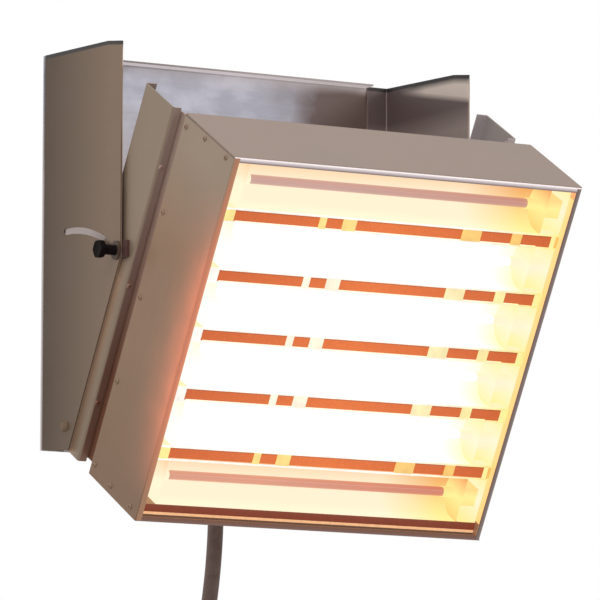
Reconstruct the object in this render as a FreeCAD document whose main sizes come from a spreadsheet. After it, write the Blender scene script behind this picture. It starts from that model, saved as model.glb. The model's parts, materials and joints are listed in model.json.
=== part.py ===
"""Wall-mounted infrared heater: a tilting box of six quartz lamps in a sheet-metal wall bracket.

Frame: X to the right, Y towards the wall, Z up. The origin is the centre of the wall bolt pattern, on the
back plate's rear face. The head's pieces are drawn upright about the hinge axis and then tilted forward.
"""
import FreeCAD, Part
import math
import os
from types import SimpleNamespace

import Sketcher
from FreeCAD import Placement, Rotation, Vector

LAMPS = 6
CORES = 5
SIDES = {"left": -1, "right": 1}
# Each bend of the cable takes this share of its shorter run.
BEND_SHARE = 0.45
TOLERANCE = 1e-6

# Driving dimensions in millimetres and degrees: name, value, meaning.
DRIVING = [
    # Wall bracket
    ("bracket_height", 422, "side plates, bottom to top"),
    ("bracket_sheet", 2, "sheet of the wall bracket"),
    ("bend_radius", 1.5, "inside radius of a bend in sheet metal"),
    ("plate_rim", 4.5, "side plate ahead of its arc slot"),
    ("plate_foot_depth", 63, "side plate at its bottom, from the wall"),
    ("knee_rim", 4, "side plate's knee below its arc slot"),
    ("top_cut", 30, "sloping end of a side plate's top edge"),
    ("top_drop", 4, "fall of that sloping end"),
    ("plate_flange", 25, "inward rear flange of a side plate"),
    ("top_rise", 4, "rise of the side plates' top edges towards the wall"),
    ("foot_fall", 5, "fall of the side plates' bottom edges towards the front"),
    ("back_lip", 22, "back plate's top edge turned forward"),
    ("wall_pitch_across", 300, "wall bolt holes, across"),
    ("wall_pitch_up", 300, "wall bolt holes, up"),
    ("wall_hole", 9, "wall bolt hole diameter"),
    ("rivet_head", 8, "bracket rivet head diameter"),
    ("rivet_rise", 1.6, "bracket rivet head height"),
    ("rivet_pitch", 130, "bracket rivets along a flange"),
    # Hinge at the foot of the bracket
    ("hinge_from_wall", 55, "hinge axis to the wall"),
    ("hinge_above_foot", 21, "hinge axis above the side plates' bottom"),
    ("tilt", 30, "head tipped forward as built"),
    ("side_gap", 3, "head to side plate, each side"),
    ("running_gap", 0.3, "between faces that slide past each other"),
    ("bolt_diameter", 6, "hinge bolts and clamp bolts"),
    ("bolt_room", 0.2, "radial room of a bolt in a plain hole"),
    ("thread_room", 0.02, "radial room of a nut or a pressed bush"),
    ("bearing_room", 0.05, "radial running fit on a bolt"),
    ("bush_diameter", 12, "hinge bush sleeve"),
    ("bush_flange", 18, "hinge bush flange diameter"),
    ("bush_length", 5, "hinge bush sleeve, inward of the cheek's outer face"),
    ("bolt_head", 12, "hinge bolt head diameter"),
    ("bolt_head_rise", 3.5, "hinge bolt head height"),
    ("nut_flats", 10, "nut across flats"),
    ("nut_thickness", 5, "nut thickness"),
    # Tilt clamp in the arc slots
    ("slot_radius", 208, "arc slot about the hinge axis"),
    ("slot_width", 7, "arc slot width"),
    ("slot_lean", 2.5, "clamp bolt ahead of the hinge, seen from the hinge with the head upright"),
    ("slot_spare", 3, "arc slot beyond the clamp bolt with the head upright"),
    ("clamp_head", 16, "clamp bolt head diameter"),
    ("clamp_head_rise", 3.5, "clamp bolt head height"),
    ("washer_diameter", 20, "clamp washer"),
    ("washer_thickness", 1.6, "clamp washer"),
    ("knob_flats", 18, "clamp knob grip across flats"),
    ("knob_grip", 6.5, "clamp knob grip thickness"),
    ("knob_stem", 11, "clamp knob stem diameter"),
    ("knob_stem_length", 15, "clamp knob stem length"),
    ("knob_wall", 3, "clamp knob beyond the end of its bolt"),
    ("pad_height", 18, "friction pad height; it stands level as built"),
    ("pad_ahead", 19, "friction pad ahead of the clamp bolt"),
    ("pad_behind", 12, "friction pad behind the clamp bolt"),
    # Lamp box
    ("box_width", 420, "lamp box outside width"),
    ("box_height", 411.5, "lamp box outside height"),
    ("box_depth", 119, "lamp box outside depth"),
    ("box_back", 66, "lamp box rear face ahead of the hinge axis"),
    ("box_foot", 23.4, "lamp box below the hinge axis"),
    ("head_sheet", 1.5, "sheet of the head"),
    ("front_lip", 6, "front edge turned inward"),
    ("end_flange", 15, "inner flanges that the side panels are screwed to"),
    ("seam", 0.2, "gap between neighbouring panel edges"),
    ("screw_head", 6, "panel screw head diameter"),
    ("screw_rise", 1.4, "panel screw head height"),
    ("screw_edge", 13, "end screws from a panel's top and bottom"),
    ("screw_inset", 7, "screws from the panel edge that they run along"),
    ("rear_screws", 5, "screws along a side panel's rear edge"),
    ("seam_screw_rear", 50, "rear seam screw ahead of the box's rear"),
    ("seam_screw_front", 19, "front seam screw behind the box's front"),
    # Cheeks that carry the box
    ("cheek_drop", 6, "cheek's top below the box's top"),
    ("cheek_depth", 68.8, "cheek channel, front to rear"),
    ("cheek_behind", 31.6, "cheek behind the hinge axis"),
    ("cheek_foot", 22.7, "cheek below the hinge axis"),
    ("cheek_front_flange", 10, "cheek front flange"),
    ("cheek_rear_flange", 13, "cheek rear flange"),
    ("zed_inset", 4, "Z bracket between cheek and box, short of the cheek at each end"),
    ("zed_foot", 26, "Z bracket foot on the rear pan"),
    ("zed_screw_edge", 63.5, "end screws from a Z bracket's ends"),
    # Reflectors and the strips between them
    ("land_recess", 13, "strips behind the front face"),
    ("land_sheet", 1.2, "strip sheet"),
    ("land_gap", 1.5, "strip ends to the side panels"),
    ("land_height", 16.5, "strip between two reflectors' mouths"),
    ("foot_margin", 5.5, "room below the lowest reflector, covered by the bottom edge strip"),
    ("trough_wall", 11, "straight wall of a reflector, from its mouth to its round bottom"),
    ("trough_lip", 2.4, "reflector lip behind the strips"),
    ("trough_room", 1, "reflector ends to the lamp holders"),
    ("reflector_sheet", 0.8, "reflector sheet"),
    ("packing_room", 0.2, "packing to the reflectors above and below it"),
    ("packing_depth", 14, "heat packing between two reflectors, front to rear"),
    ("end_margin", 3, "end reflector behind the reflectors' round bottoms"),
    ("slot_rim", 1.8, "metal above and below the cooling slots in a strip"),
    ("slot_start", 22, "metal at a strip's left end, before its first slot"),
    ("slot_end", 3, "metal at a strip's right end, after its last slot"),
    ("slot_one", 101, "first cooling slot, from the left"),
    ("slot_two", 20, "second cooling slot; the third takes the length that the others leave"),
    ("slot_four", 38, "fourth cooling slot"),
    ("slot_five", 42, "fifth cooling slot"),
    ("web_one", 8, "metal after the first slot"),
    ("web_two", 16, "metal after the second slot"),
    ("web_three", 23, "metal after the third slot"),
    ("web_four", 12, "metal after the fourth slot"),
    # Lamps, holders and rails
    ("tube_diameter", 10, "quartz tube"),
    ("lamp_end", 42, "quartz tube's ends from the box's sides"),
    ("lamp_rise", 16, "lamp axis ahead of the reflector's bottom"),
    ("filament_diameter", 3, "filament helix"),
    ("filament_end", 18, "filament short of the quartz tube's ends"),
    ("cap_diameter", 12, "ceramic lamp cap"),
    ("cap_length", 20, "ceramic lamp cap"),
    ("cap_seat", 5, "cap inside its holder"),
    ("cap_room", 0.3, "radial room of a cap in its holder"),
    ("holder_height", 20, "lamp holder, up"),
    ("holder_depth", 24, "lamp holder, front to rear"),
    ("rail_depth", 40, "lamp rail, front to rear"),
    ("rail_tab", 7, "lamp rail tabs behind the strips"),
    ("rail_tab_height", 14, "lamp rail tab height"),
    # Supply
    ("terminal_width", 84, "terminal block width"),
    ("terminal_height", 30, "terminal block height"),
    ("terminal_depth", 26, "terminal block depth"),
    ("loom_diameter", 10, "sleeved wire loom"),
    ("loom_end", 30, "wire loom short of the box's top and bottom"),
    ("cable_diameter", 17, "rubber mains cable"),
    ("cable_room", 0.3, "radial room of the cable in its clamp"),
    ("cable_across", -6, "cable at its clamp, from the middle"),
    ("lead_straight", 6, "straight end of the flexing lead above its clamp"),
    ("gland_flats", 30, "cable gland across flats"),
    ("gland_hex", 8, "cable gland hexagon"),
    ("gland_nose", 16, "cable gland nose"),
    ("gland_nose_diameter", 26, "cable gland nose"),
    ("saddle_sheet", 2.5, "cable clamp strap"),
    ("saddle_foot", 15, "cable clamp foot"),
    ("saddle_height", 20, "cable clamp along the cable"),
    ("saddle_above_foot", 6, "cable clamp above the side plates' bottom"),
    # Put-away end of the cable
    ("coil_diameter", 187, "coil at the middle of the cable"),
    ("coil_gap", 1.4, "between neighbouring turns"),
    ("coil_quarters", 9, "quarter turns of the coil"),
    ("tie_room", 0.4, "tie round the cable"),
    ("tie_wall", 1.6, "tie strap"),
    ("tie_width", 9, "tie along the cable"),
    ("core_diameter", 4, "insulated core"),
    ("core_length", 38, "insulated core"),
    ("core_circle", 9.6, "circle of the cores"),
    ("ferrule_diameter", 2.4, "bared end of a core"),
    ("ferrule_length", 10, "bared end of a core"),
]


class Size:
    """A size with its number and the sheet expression that it comes from."""

    def __init__(self, value, text):
        self.value = value
        self.text = text

    def __add__(self, other):
        other = as_size(other)
        return Size(self.value + other.value, f"({self.text} + {other.text})")

    def __sub__(self, other):
        other = as_size(other)
        return Size(self.value - other.value, f"({self.text} - {other.text})")

    def __mul__(self, other):
        other = as_size(other)
        return Size(self.value * other.value, f"({self.text} * {other.text})")

    def __truediv__(self, other):
        other = as_size(other)
        return Size(self.value / other.value, f"({self.text} / {other.text})")

    def __neg__(self):
        return Size(-self.value, f"(0 - {self.text})")

    def __rsub__(self, other):
        return as_size(other) - self

    __radd__ = __add__
    __rmul__ = __mul__


def as_size(thing):
    """A plain number as a size."""
    return thing if isinstance(thing, Size) else Size(float(thing), f"({float(thing)!r})")


def sine(angle):
    """Sine of an angle in degrees."""
    return Size(math.sin(math.radians(angle.value)), f"sin({angle.text} * 1 deg)")


def cosine(angle):
    """Cosine of an angle in degrees."""
    return Size(math.cos(math.radians(angle.value)), f"cos({angle.text} * 1 deg)")


doc = FreeCAD.newDocument("infrared_heater")
sheet = doc.addObject("Spreadsheet::Sheet", "Sizes")
for row, (alias, number, meaning) in enumerate(DRIVING, start=1):
    sheet.set(f"A{row}", meaning)
    sheet.set(f"B{row}", str(number))
    sheet.setAlias(f"B{row}", alias)
doc.recompute()
S = SimpleNamespace(**{alias: Size(float(sheet.get(alias)), f"Sizes.{alias}") for alias, _, _ in DRIVING})

nodes = []


# Drawing helpers
def bind(feature, path, size):
    """Ties a property of a feature to the sheet."""
    feature.setExpression(path, as_size(size).text)


def new_body(name, place, in_group=False):
    """An empty body: a sub-part by itself, or one solid of a group."""
    body = doc.addObject("PartDesign::Body", name)
    body.Label = name
    body.Placement = place
    if not in_group:
        nodes.append(body)
    return body


def new_sketch(body, role, lift=0):
    """A sketch on one of the body's own planes, lifted along the plane's normal."""
    sketch = body.newObject("Sketcher::SketchObject", "Outline")
    plane = next(feature for feature in body.Origin.OriginFeatures if feature.Role == role)
    sketch.AttachmentSupport = (plane, [""])
    sketch.MapMode = "FlatFace"
    bind(sketch, "AttachmentOffset.Base.z", lift)
    return sketch


def fix_point(sketch, curve, spot, across, up):
    """Holds one point of a curve at its distances from the sketch's origin."""
    for kind, size in (("DistanceX", as_size(across)), ("DistanceY", as_size(up))):
        index = sketch.addConstraint(Sketcher.Constraint(kind, -1, 1, curve, spot, size.value))
        bind(sketch, f"Constraints[{index}]", size)


def draw_outline(sketch, corners, arcs=None):
    """A closed outline; arcs maps a corner's index to the centre and half angle of the arc that leaves it."""
    arcs = arcs or {}
    first = sketch.GeometryCount
    count = len(corners)
    spots = [Vector(as_size(u).value, as_size(v).value, 0) for u, v in corners]
    starts = {}
    for i, spot in enumerate(spots):
        following = spots[(i + 1) % count]
        if i in arcs:
            centre = Vector(as_size(arcs[i][0]).value, as_size(arcs[i][1]).value, 0)
            middle = centre + Rotation(Vector(0, 0, 1), arcs[i][2]) * (spot - centre)
            sketch.addGeometry(Part.Arc(spot, middle, following))
        else:
            sketch.addGeometry(Part.LineSegment(spot, following))
        forward = (sketch.getPoint(first + i, 1) - spot).Length < TOLERANCE
        starts[i] = (1, 2) if forward else (2, 1)
    for i, (u, v) in enumerate(corners):
        following = (i + 1) % count
        ends = (first + i, starts[i][1], first + following, starts[following][0])
        sketch.addConstraint(Sketcher.Constraint("Coincident", *ends))
        fix_point(sketch, first + i, starts[i][0], u, v)
    for i, (u, v, _) in arcs.items():
        level = abs(spots[i].y - spots[(i + 1) % count].y) < TOLERANCE
        kind, size = ("DistanceY", as_size(v)) if level else ("DistanceX", as_size(u))
        index = sketch.addConstraint(Sketcher.Constraint(kind, -1, 1, first + i, 3, size.value))
        bind(sketch, f"Constraints[{index}]", size)


def rounded(corners, bends):
    """A square-cornered outline with some corners rounded, as corners and arcs for draw_outline.

    bends maps a corner's index to its radius.
    """
    points = []
    arcs = {}
    for i, (u, v) in enumerate(corners):
        if i not in bends:
            points.append((u, v))
            continue
        here = at(u, v, 0)
        into = (here - at(*corners[i - 1], 0)).normalize()
        out = (at(*corners[(i + 1) % len(corners)], 0) - here).normalize()
        back = (bends[i] * round(into.x), bends[i] * round(into.y))
        on = (bends[i] * round(out.x), bends[i] * round(out.y))
        half_turn = 45 if into.cross(out).z > 0 else -45
        arcs[len(points)] = (u - back[0] + on[0], v - back[1] + on[1], half_turn)
        points += [(u - back[0], v - back[1]), (u + on[0], v + on[1])]
    return points, arcs


def draw_box(sketch, left, right, low, high):
    """A rectangle."""
    draw_outline(sketch, [(left, low), (right, low), (right, high), (left, high)])


def draw_circle(sketch, across, up, diameter):
    """A circle."""
    centre = Vector(as_size(across).value, as_size(up).value, 0)
    radius = as_size(diameter) / 2
    curve = sketch.addGeometry(Part.Circle(centre, Vector(0, 0, 1), radius.value))
    fix_point(sketch, curve, 3, across, up)
    index = sketch.addConstraint(Sketcher.Constraint("Radius", curve, radius.value))
    bind(sketch, f"Constraints[{index}]", radius)


def draw_hexagon(sketch, across, up, flats):
    """A hexagon with a corner at its top and bottom."""
    corner = as_size(flats) / math.sqrt(3)
    turns = [math.radians(60 * k + 90) for k in range(6)]
    corners = [(across + corner * round(math.cos(t), 9), up + corner * round(math.sin(t), 9)) for t in turns]
    draw_outline(sketch, corners)


def pad(body, sketch, length, both_ways=False, reverse=False):
    """Extrudes a sketch."""
    feature = body.newObject("PartDesign::Pad", "Pad")
    feature.Profile = sketch
    bind(feature, "Length", length)
    feature.SideType = "Symmetric" if both_ways else "One side"
    feature.Reversed = reverse
    return feature


def cut(body, sketch, depth=None, reverse=False):
    """Cuts a sketch right through the body both ways, or to a depth."""
    feature = body.newObject("PartDesign::Pocket", "Pocket")
    feature.Profile = sketch
    if depth is None:
        feature.Type = "ThroughAll"
        feature.SideType = "Symmetric"
    else:
        bind(feature, "Length", depth)
        feature.Reversed = reverse
    return feature


def turned(name, place, profile, in_group=False):
    """A body turned about its own X axis from an outline of (along X, radius) corners."""
    body = new_body(name, place, in_group)
    sketch = new_sketch(body, "XZ_Plane")
    draw_outline(sketch, profile)
    feature = body.newObject("PartDesign::Revolution", "Revolution")
    feature.Profile = sketch
    axis = next(part for part in body.Origin.OriginFeatures if part.Role == "X_Axis")
    feature.ReferenceAxis = (axis, [""])
    return body


def group(name, members, place):
    """Separate solids that share one node."""
    compound = doc.addObject("Part::Compound", name)
    compound.Label = name
    compound.Links = members
    compound.Placement = place
    nodes.append(compound)
    return compound


def button(diameter, rise, spot, direction):
    """One low fastener head that stands on a surface: a cone with a flat top."""
    head = doc.addObject("Part::Cone", "Head")
    bind(head, "Radius1", diameter / 2)
    bind(head, "Radius2", diameter / 2 - rise / 2)
    bind(head, "Height", rise)
    head.Placement = Placement(spot, Rotation(Vector(0, 0, 1), direction))
    return head


def rod(diameter, length, spot, direction):
    """One round rod from a spot along a direction."""
    bar = doc.addObject("Part::Cylinder", "Rod")
    bind(bar, "Radius", as_size(diameter) / 2)
    bind(bar, "Height", length)
    bar.Placement = Placement(spot, Rotation(Vector(0, 0, 1), direction))
    return bar


def at(x, y, z):
    """A vector from sizes or numbers."""
    return Vector(as_size(x).value, as_size(y).value, as_size(z).value)


# Places shared by the pieces
WALL = Placement()
HINGE_Z = S.hinge_above_foot - S.bracket_height / 2
PIVOT = Placement(at(0, -S.hinge_from_wall, HINGE_Z), Rotation())
HEAD = Placement(PIVOT.Base, Rotation(Vector(1, 0, 0), S.tilt.value))

outer_bend = S.bend_radius + S.head_sheet
half_box = S.box_width / 2
plate_inner = half_box + S.side_gap
plate_outer = plate_inner + S.bracket_sheet
slot_start_angle = S.slot_lean - S.slot_spare
slot_end_angle = S.slot_lean + S.tilt
plate_ahead = S.slot_radius * sine(slot_end_angle) + S.slot_width / 2 + S.plate_rim
knee_up = S.slot_radius * cosine(slot_end_angle) - S.slot_width / 2 - S.knee_rim
box_front = S.box_back + S.box_depth
box_top = S.box_height - S.box_foot
cheek_top = box_top - S.cheek_drop
zed_low = S.zed_inset - S.cheek_foot
zed_high = cheek_top - S.zed_inset
zed_wall = half_box - S.cheek_front_flange - S.seam - S.bend_radius
inner_half = half_box - S.head_sheet
inner_low = S.head_sheet - S.box_foot
inner_high = box_top - S.head_sheet
pitch = (inner_high - inner_low - S.foot_margin) / LAMPS
clamp_ahead = S.slot_radius * sine(S.slot_lean)
clamp_up = S.slot_radius * cosine(S.slot_lean)
land_front = box_front - S.land_recess
land_rear = land_front - S.land_sheet
lamp_row = [inner_high - pitch * (i + 0.5) for i in range(LAMPS)]
land_row = [inner_high - pitch * i for i in range(1, LAMPS)]
land_half = inner_half - S.land_gap
trough_opening = pitch - S.land_height
trough_centre = land_rear - S.trough_wall
trough_bottom = trough_centre - trough_opening / 2
lamp_ahead = trough_bottom + S.lamp_rise
tube_half = half_box - S.lamp_end
holder_face = tube_half + S.cap_length - S.cap_seat
rail_outer = inner_half - 2 * S.seam - S.head_sheet
rail_inner = rail_outer - S.head_sheet
cable_from_wall = S.bracket_sheet + S.cable_diameter / 2 + S.cable_room
clamp_top = S.saddle_above_foot + S.saddle_height - S.hinge_above_foot
# The gland stands where one arc from its nose meets the cable's clamp, upright and just above it.
nose_ahead = S.box_back - S.gland_hex - S.gland_nose
arc_ratio = cosine(S.tilt) / (1 + sine(S.tilt))
arc_foot = clamp_top + S.lead_straight + nose_ahead * sine(S.tilt)
gland_above = arc_foot / arc_ratio + S.hinge_from_wall - cable_from_wall + nose_ahead * cosine(S.tilt)


# Wall bracket
def make_back_plate():
    """Flat plate on the wall, with the wall bolt holes and a lip turned forward along its top."""
    body = new_body("back_plate", WALL)
    sketch = new_sketch(body, "XZ_Plane")
    top = S.bracket_height / 2 + S.top_rise
    draw_box(sketch, -plate_outer, plate_outer, -S.bracket_height / 2, top)
    pad(body, sketch, S.bracket_sheet)
    lip = new_sketch(body, "YZ_Plane")
    under = top - S.bracket_sheet
    root = under - 2 * S.bend_radius
    corners = [
        (0, root), (0, top), (-S.back_lip, top), (-S.back_lip, under), (-S.bracket_sheet, under),
        (-S.bracket_sheet, root),
    ]
    draw_outline(lip, *rounded(corners, {4: S.bend_radius}))
    pad(body, lip, 2 * (plate_inner - S.plate_flange - S.side_gap), both_ways=True)
    holes = new_sketch(body, "XZ_Plane")
    for across in (-1, 1):
        for up in (-1, 1):
            draw_circle(holes, across * S.wall_pitch_across / 2, up * S.wall_pitch_up / 2, S.wall_hole)
    cut(body, holes)


def make_side_plate(name, side):
    """Kneed side plate with its rear flange, hinge hole and arc slot, drawn about the hinge axis."""
    body = new_body(name, PIVOT)
    rear = S.hinge_from_wall - S.bracket_sheet
    foot = -S.hinge_above_foot
    front = -plate_ahead
    foot_front = S.hinge_from_wall - S.plate_foot_depth
    inner = side * plate_inner
    outer = side * plate_outer
    tip = side * (plate_inner - S.plate_flange)
    angle = new_sketch(body, "XY_Plane", foot - S.foot_fall)
    corners = [
        (outer, front), (outer, rear), (tip, rear), (tip, rear - S.bracket_sheet),
        (inner, rear - S.bracket_sheet), (inner, front),
    ]
    draw_outline(angle, *rounded(corners, {1: S.bend_radius + S.bracket_sheet, 4: S.bend_radius}))
    pad(body, angle, S.foot_fall + S.bracket_height + S.top_rise)
    slope = new_sketch(body, "YZ_Plane")
    ahead = front - S.side_gap
    behind = rear + S.side_gap
    flange = rear - S.bracket_sheet
    toe = foot - S.foot_fall
    below = toe - S.side_gap
    draw_outline(slope, [
        (foot_front, toe), (front, knee_up), (ahead, knee_up), (ahead, below), (behind, below), (behind, foot),
        (flange, foot),
    ])
    top = S.bracket_height - S.hinge_above_foot
    peak = top + S.top_rise
    above = peak + S.side_gap
    draw_outline(slope, [
        (flange, peak), (flange, above), (ahead, above), (ahead, top - S.top_drop), (front, top - S.top_drop),
        (front + S.top_cut, top),
    ])
    cut(body, slope)
    hinge = new_sketch(body, "YZ_Plane")
    draw_circle(hinge, 0, 0, S.bolt_diameter + 2 * S.bolt_room)
    cut(body, hinge)
    cut_arc_slot(body, side)


def cut_arc_slot(body, side):
    """Arc slot about the hinge axis: a turned cut between two round ends."""
    outline = new_sketch(body, "XZ_Plane")
    outline.AttachmentOffset = Placement(Vector(), Rotation(Vector(1, 0, 0), slot_start_angle.value))
    low = S.slot_radius - S.slot_width / 2
    high = S.slot_radius + S.slot_width / 2
    draw_box(outline, side * (plate_inner - S.side_gap / 2), side * (plate_outer + S.side_gap / 2), low, high)
    groove = body.newObject("PartDesign::Groove", "ArcSlot")
    groove.Profile = outline
    axis = next(part for part in body.Origin.OriginFeatures if part.Role == "X_Axis")
    groove.ReferenceAxis = (axis, [""])
    bind(groove, "Angle", slot_end_angle - slot_start_angle)
    ends = new_sketch(body, "YZ_Plane")
    for angle in (slot_start_angle, slot_end_angle):
        draw_circle(ends, -S.slot_radius * sine(angle), S.slot_radius * cosine(angle), S.slot_width)
    cut(body, ends)


def make_bracket_rivets():
    """Rivets through the side plates' rear flanges into the back plate."""
    heads = []
    surface = -2 * S.bracket_sheet
    for side in SIDES.values():
        for row_number in (-1, 0, 1):
            spot = at(side * (plate_inner - S.plate_flange / 2), surface, row_number * S.rivet_pitch)
            heads.append(button(S.rivet_head, S.rivet_rise, spot, Vector(0, -1, 0)))
    group("bracket_rivets", heads, WALL)


# Hinge
def make_hinge():
    """Bolts through the side plates, flanged bushes in the cheeks and nuts inside them."""
    shank = S.bolt_diameter / 2
    nut_outer = half_box - S.bush_length - S.running_gap
    bolts = []
    bushes = []
    nuts = []
    for name, side in SIDES.items():
        end = nut_outer - S.nut_thickness - S.head_sheet
        crown = S.bolt_head / 2 - S.bolt_head_rise / 2
        profile = [
            (side * end, 0), (side * end, shank), (side * plate_outer, shank),
            (side * plate_outer, S.bolt_head / 2), (side * (plate_outer + S.bolt_head_rise), crown),
            (side * (plate_outer + S.bolt_head_rise), 0),
        ]
        bolts.append(turned(f"{name}_hinge_bolt", Placement(), profile, in_group=True))
        inner = half_box - S.bush_length
        outer = plate_inner - S.running_gap
        bore = shank + S.bearing_room
        profile = [
            (side * inner, bore), (side * inner, S.bush_diameter / 2), (side * half_box, S.bush_diameter / 2),
            (side * half_box, S.bush_flange / 2), (side * outer, S.bush_flange / 2), (side * outer, bore),
        ]
        bushes.append(turned(f"{name}_hinge_bush", Placement(), profile, in_group=True))
        nut = new_body(f"{name}_hinge_nut", Placement(), in_group=True)
        sketch = new_sketch(nut, "YZ_Plane", side * nut_outer)
        draw_hexagon(sketch, as_size(0), as_size(0), S.nut_flats)
        draw_circle(sketch, 0, 0, S.bolt_diameter + 2 * S.thread_room)
        pad(nut, sketch, S.nut_thickness, reverse=side > 0)
        nuts.append(nut)
    group("hinge_bolts", bolts, PIVOT)
    group("hinge_bushes", bushes, HEAD)
    group("hinge_nuts", nuts, PIVOT)


# Tilt clamp
def make_clamp(name, side):
    """Bolt through cheek, friction pad and arc slot, with a washer and a hand knob outside the plate.

    Gives back the bolt, the washer and the pad, which share nodes with those of the other side.
    """
    in_head = Placement(at(0, -clamp_ahead, clamp_up), Rotation())
    place = HEAD * in_head
    shank = S.bolt_diameter / 2
    washer_inner = plate_outer + S.running_gap
    knob_inner = washer_inner + S.washer_thickness
    knob_outer = knob_inner + S.knob_stem_length + S.knob_grip
    bolt_end = knob_outer - S.knob_wall
    crown = inner_half - S.clamp_head_rise
    profile = [
        (side * crown, 0), (side * crown, S.clamp_head / 2), (side * inner_half, S.clamp_head / 2),
        (side * inner_half, shank), (side * bolt_end, shank), (side * bolt_end, 0),
    ]
    bolt = turned(f"{name}_clamp_bolt", in_head, profile, in_group=True)

    level = Placement(in_head.Base, HEAD.Rotation.inverted())
    block = new_body(f"{name}_friction_pad", level, in_group=True)
    sketch = new_sketch(block, "YZ_Plane", side * half_box)
    draw_box(sketch, -S.pad_ahead, S.pad_behind, -S.pad_height / 2, S.pad_height / 2)
    draw_circle(sketch, 0, 0, S.bolt_diameter + 2 * S.bolt_room)
    pad(block, sketch, S.side_gap - S.running_gap, reverse=side < 0)

    hole = shank + S.bolt_room
    edge = S.washer_diameter / 2
    profile = [
        (side * washer_inner, hole), (side * washer_inner, edge),
        (side * knob_inner, edge), (side * knob_inner, hole),
    ]
    washer = turned(f"{name}_clamp_washer", in_head, profile, in_group=True)

    knob = new_body(f"{name}_clamp_knob", place)
    grip = new_sketch(knob, "YZ_Plane", side * (knob_inner + S.knob_stem_length))
    draw_hexagon(grip, as_size(0), as_size(0), S.knob_flats)
    pad(knob, grip, S.knob_grip, reverse=side < 0)
    stem = new_sketch(knob, "YZ_Plane", side * knob_inner)
    draw_circle(stem, 0, 0, S.knob_stem)
    pad(knob, stem, S.knob_stem_length, reverse=side < 0)
    bore = new_sketch(knob, "YZ_Plane", side * knob_inner)
    draw_circle(bore, 0, 0, S.bolt_diameter + 2 * S.bearing_room)
    depth = bolt_end - knob_inner + S.running_gap
    cut(knob, bore, depth, reverse=side > 0)
    return bolt, washer, block


# Cheeks and the brackets that tie them to the box
def make_cheek(name, side):
    """Channel beside the hinge with inward flanges at its front and rear."""
    body = new_body(f"{name}_cheek", HEAD)
    rear = S.cheek_behind
    front = S.cheek_behind - S.cheek_depth
    outer = side * half_box
    inner = side * inner_half
    rear_tip = side * (half_box - S.cheek_rear_flange)
    front_tip = side * (half_box - S.cheek_front_flange)
    sketch = new_sketch(body, "XY_Plane", -S.cheek_foot)
    corners = [
        (outer, front), (outer, rear), (rear_tip, rear), (rear_tip, rear - S.head_sheet),
        (inner, rear - S.head_sheet), (inner, front + S.head_sheet), (front_tip, front + S.head_sheet),
        (front_tip, front),
    ]
    bends = {0: outer_bend, 1: outer_bend, 4: S.bend_radius, 5: S.bend_radius}
    draw_outline(sketch, *rounded(corners, bends))
    pad(body, sketch, cheek_top + S.cheek_foot)
    holes = new_sketch(body, "YZ_Plane")
    draw_circle(holes, 0, 0, S.bush_diameter + 2 * S.thread_room)
    draw_circle(holes, -clamp_ahead, clamp_up, S.bolt_diameter + 2 * S.bolt_room)
    cut(body, holes)


def make_zed(name, side):
    """Z-shaped bracket: foot on the rear pan, wall across the groove, flange inside the cheek."""
    body = new_body(f"{name}_cheek_bracket", HEAD)
    flange_front = S.cheek_behind - S.cheek_depth + S.head_sheet
    outer = side * zed_wall
    inner = side * (zed_wall - S.head_sheet)
    foot_tip = side * (zed_wall - S.zed_foot)
    tip = side * (inner_half - S.seam - S.bend_radius)
    sketch = new_sketch(body, "XY_Plane", zed_low)
    corners = [
        (foot_tip, -S.box_back), (outer, -S.box_back), (outer, flange_front), (tip, flange_front),
        (tip, flange_front + S.head_sheet), (inner, flange_front + S.head_sheet),
        (inner, S.head_sheet - S.box_back), (foot_tip, S.head_sheet - S.box_back),
    ]
    bends = {1: outer_bend, 2: S.bend_radius, 5: outer_bend, 6: S.bend_radius}
    draw_outline(sketch, *rounded(corners, bends))
    pad(body, sketch, zed_high - zed_low)


def make_cheek_screws():
    """Screws that hold the Z brackets to the cheeks and to the rear pan."""
    heads = []
    cheek_front = S.cheek_behind - S.cheek_depth
    foot_face = S.head_sheet - S.box_back
    levels = (zed_low + S.zed_screw_edge, (zed_low + zed_high) / 2, zed_high - S.zed_screw_edge)
    for side in SIDES.values():
        for up in levels:
            spot = at(side * (half_box - S.cheek_front_flange / 2), cheek_front, up)
            heads.append(button(S.screw_head, S.screw_rise, spot, Vector(0, -1, 0)))
            spot = at(side * (zed_wall - S.zed_foot / 2), foot_face, up)
            heads.append(button(S.screw_head, S.screw_rise, spot, Vector(0, 1, 0)))
    group("cheek_screws", heads, HEAD)


# Lamp box
def make_side_panel(name, side):
    """Flat side of the box with its front edge turned in."""
    body = new_body(f"{name}_panel", HEAD)
    outer = side * half_box
    inner = side * inner_half
    lip = side * (half_box - S.front_lip)
    sketch = new_sketch(body, "XY_Plane", inner_low + S.seam)
    corners = [
        (outer, -S.box_back), (outer, -box_front), (lip, -box_front), (lip, S.head_sheet - box_front),
        (inner, S.head_sheet - box_front), (inner, -S.box_back),
    ]
    draw_outline(sketch, *rounded(corners, {1: outer_bend, 4: S.bend_radius}))
    pad(body, sketch, inner_high - inner_low - 2 * S.seam)


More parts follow.
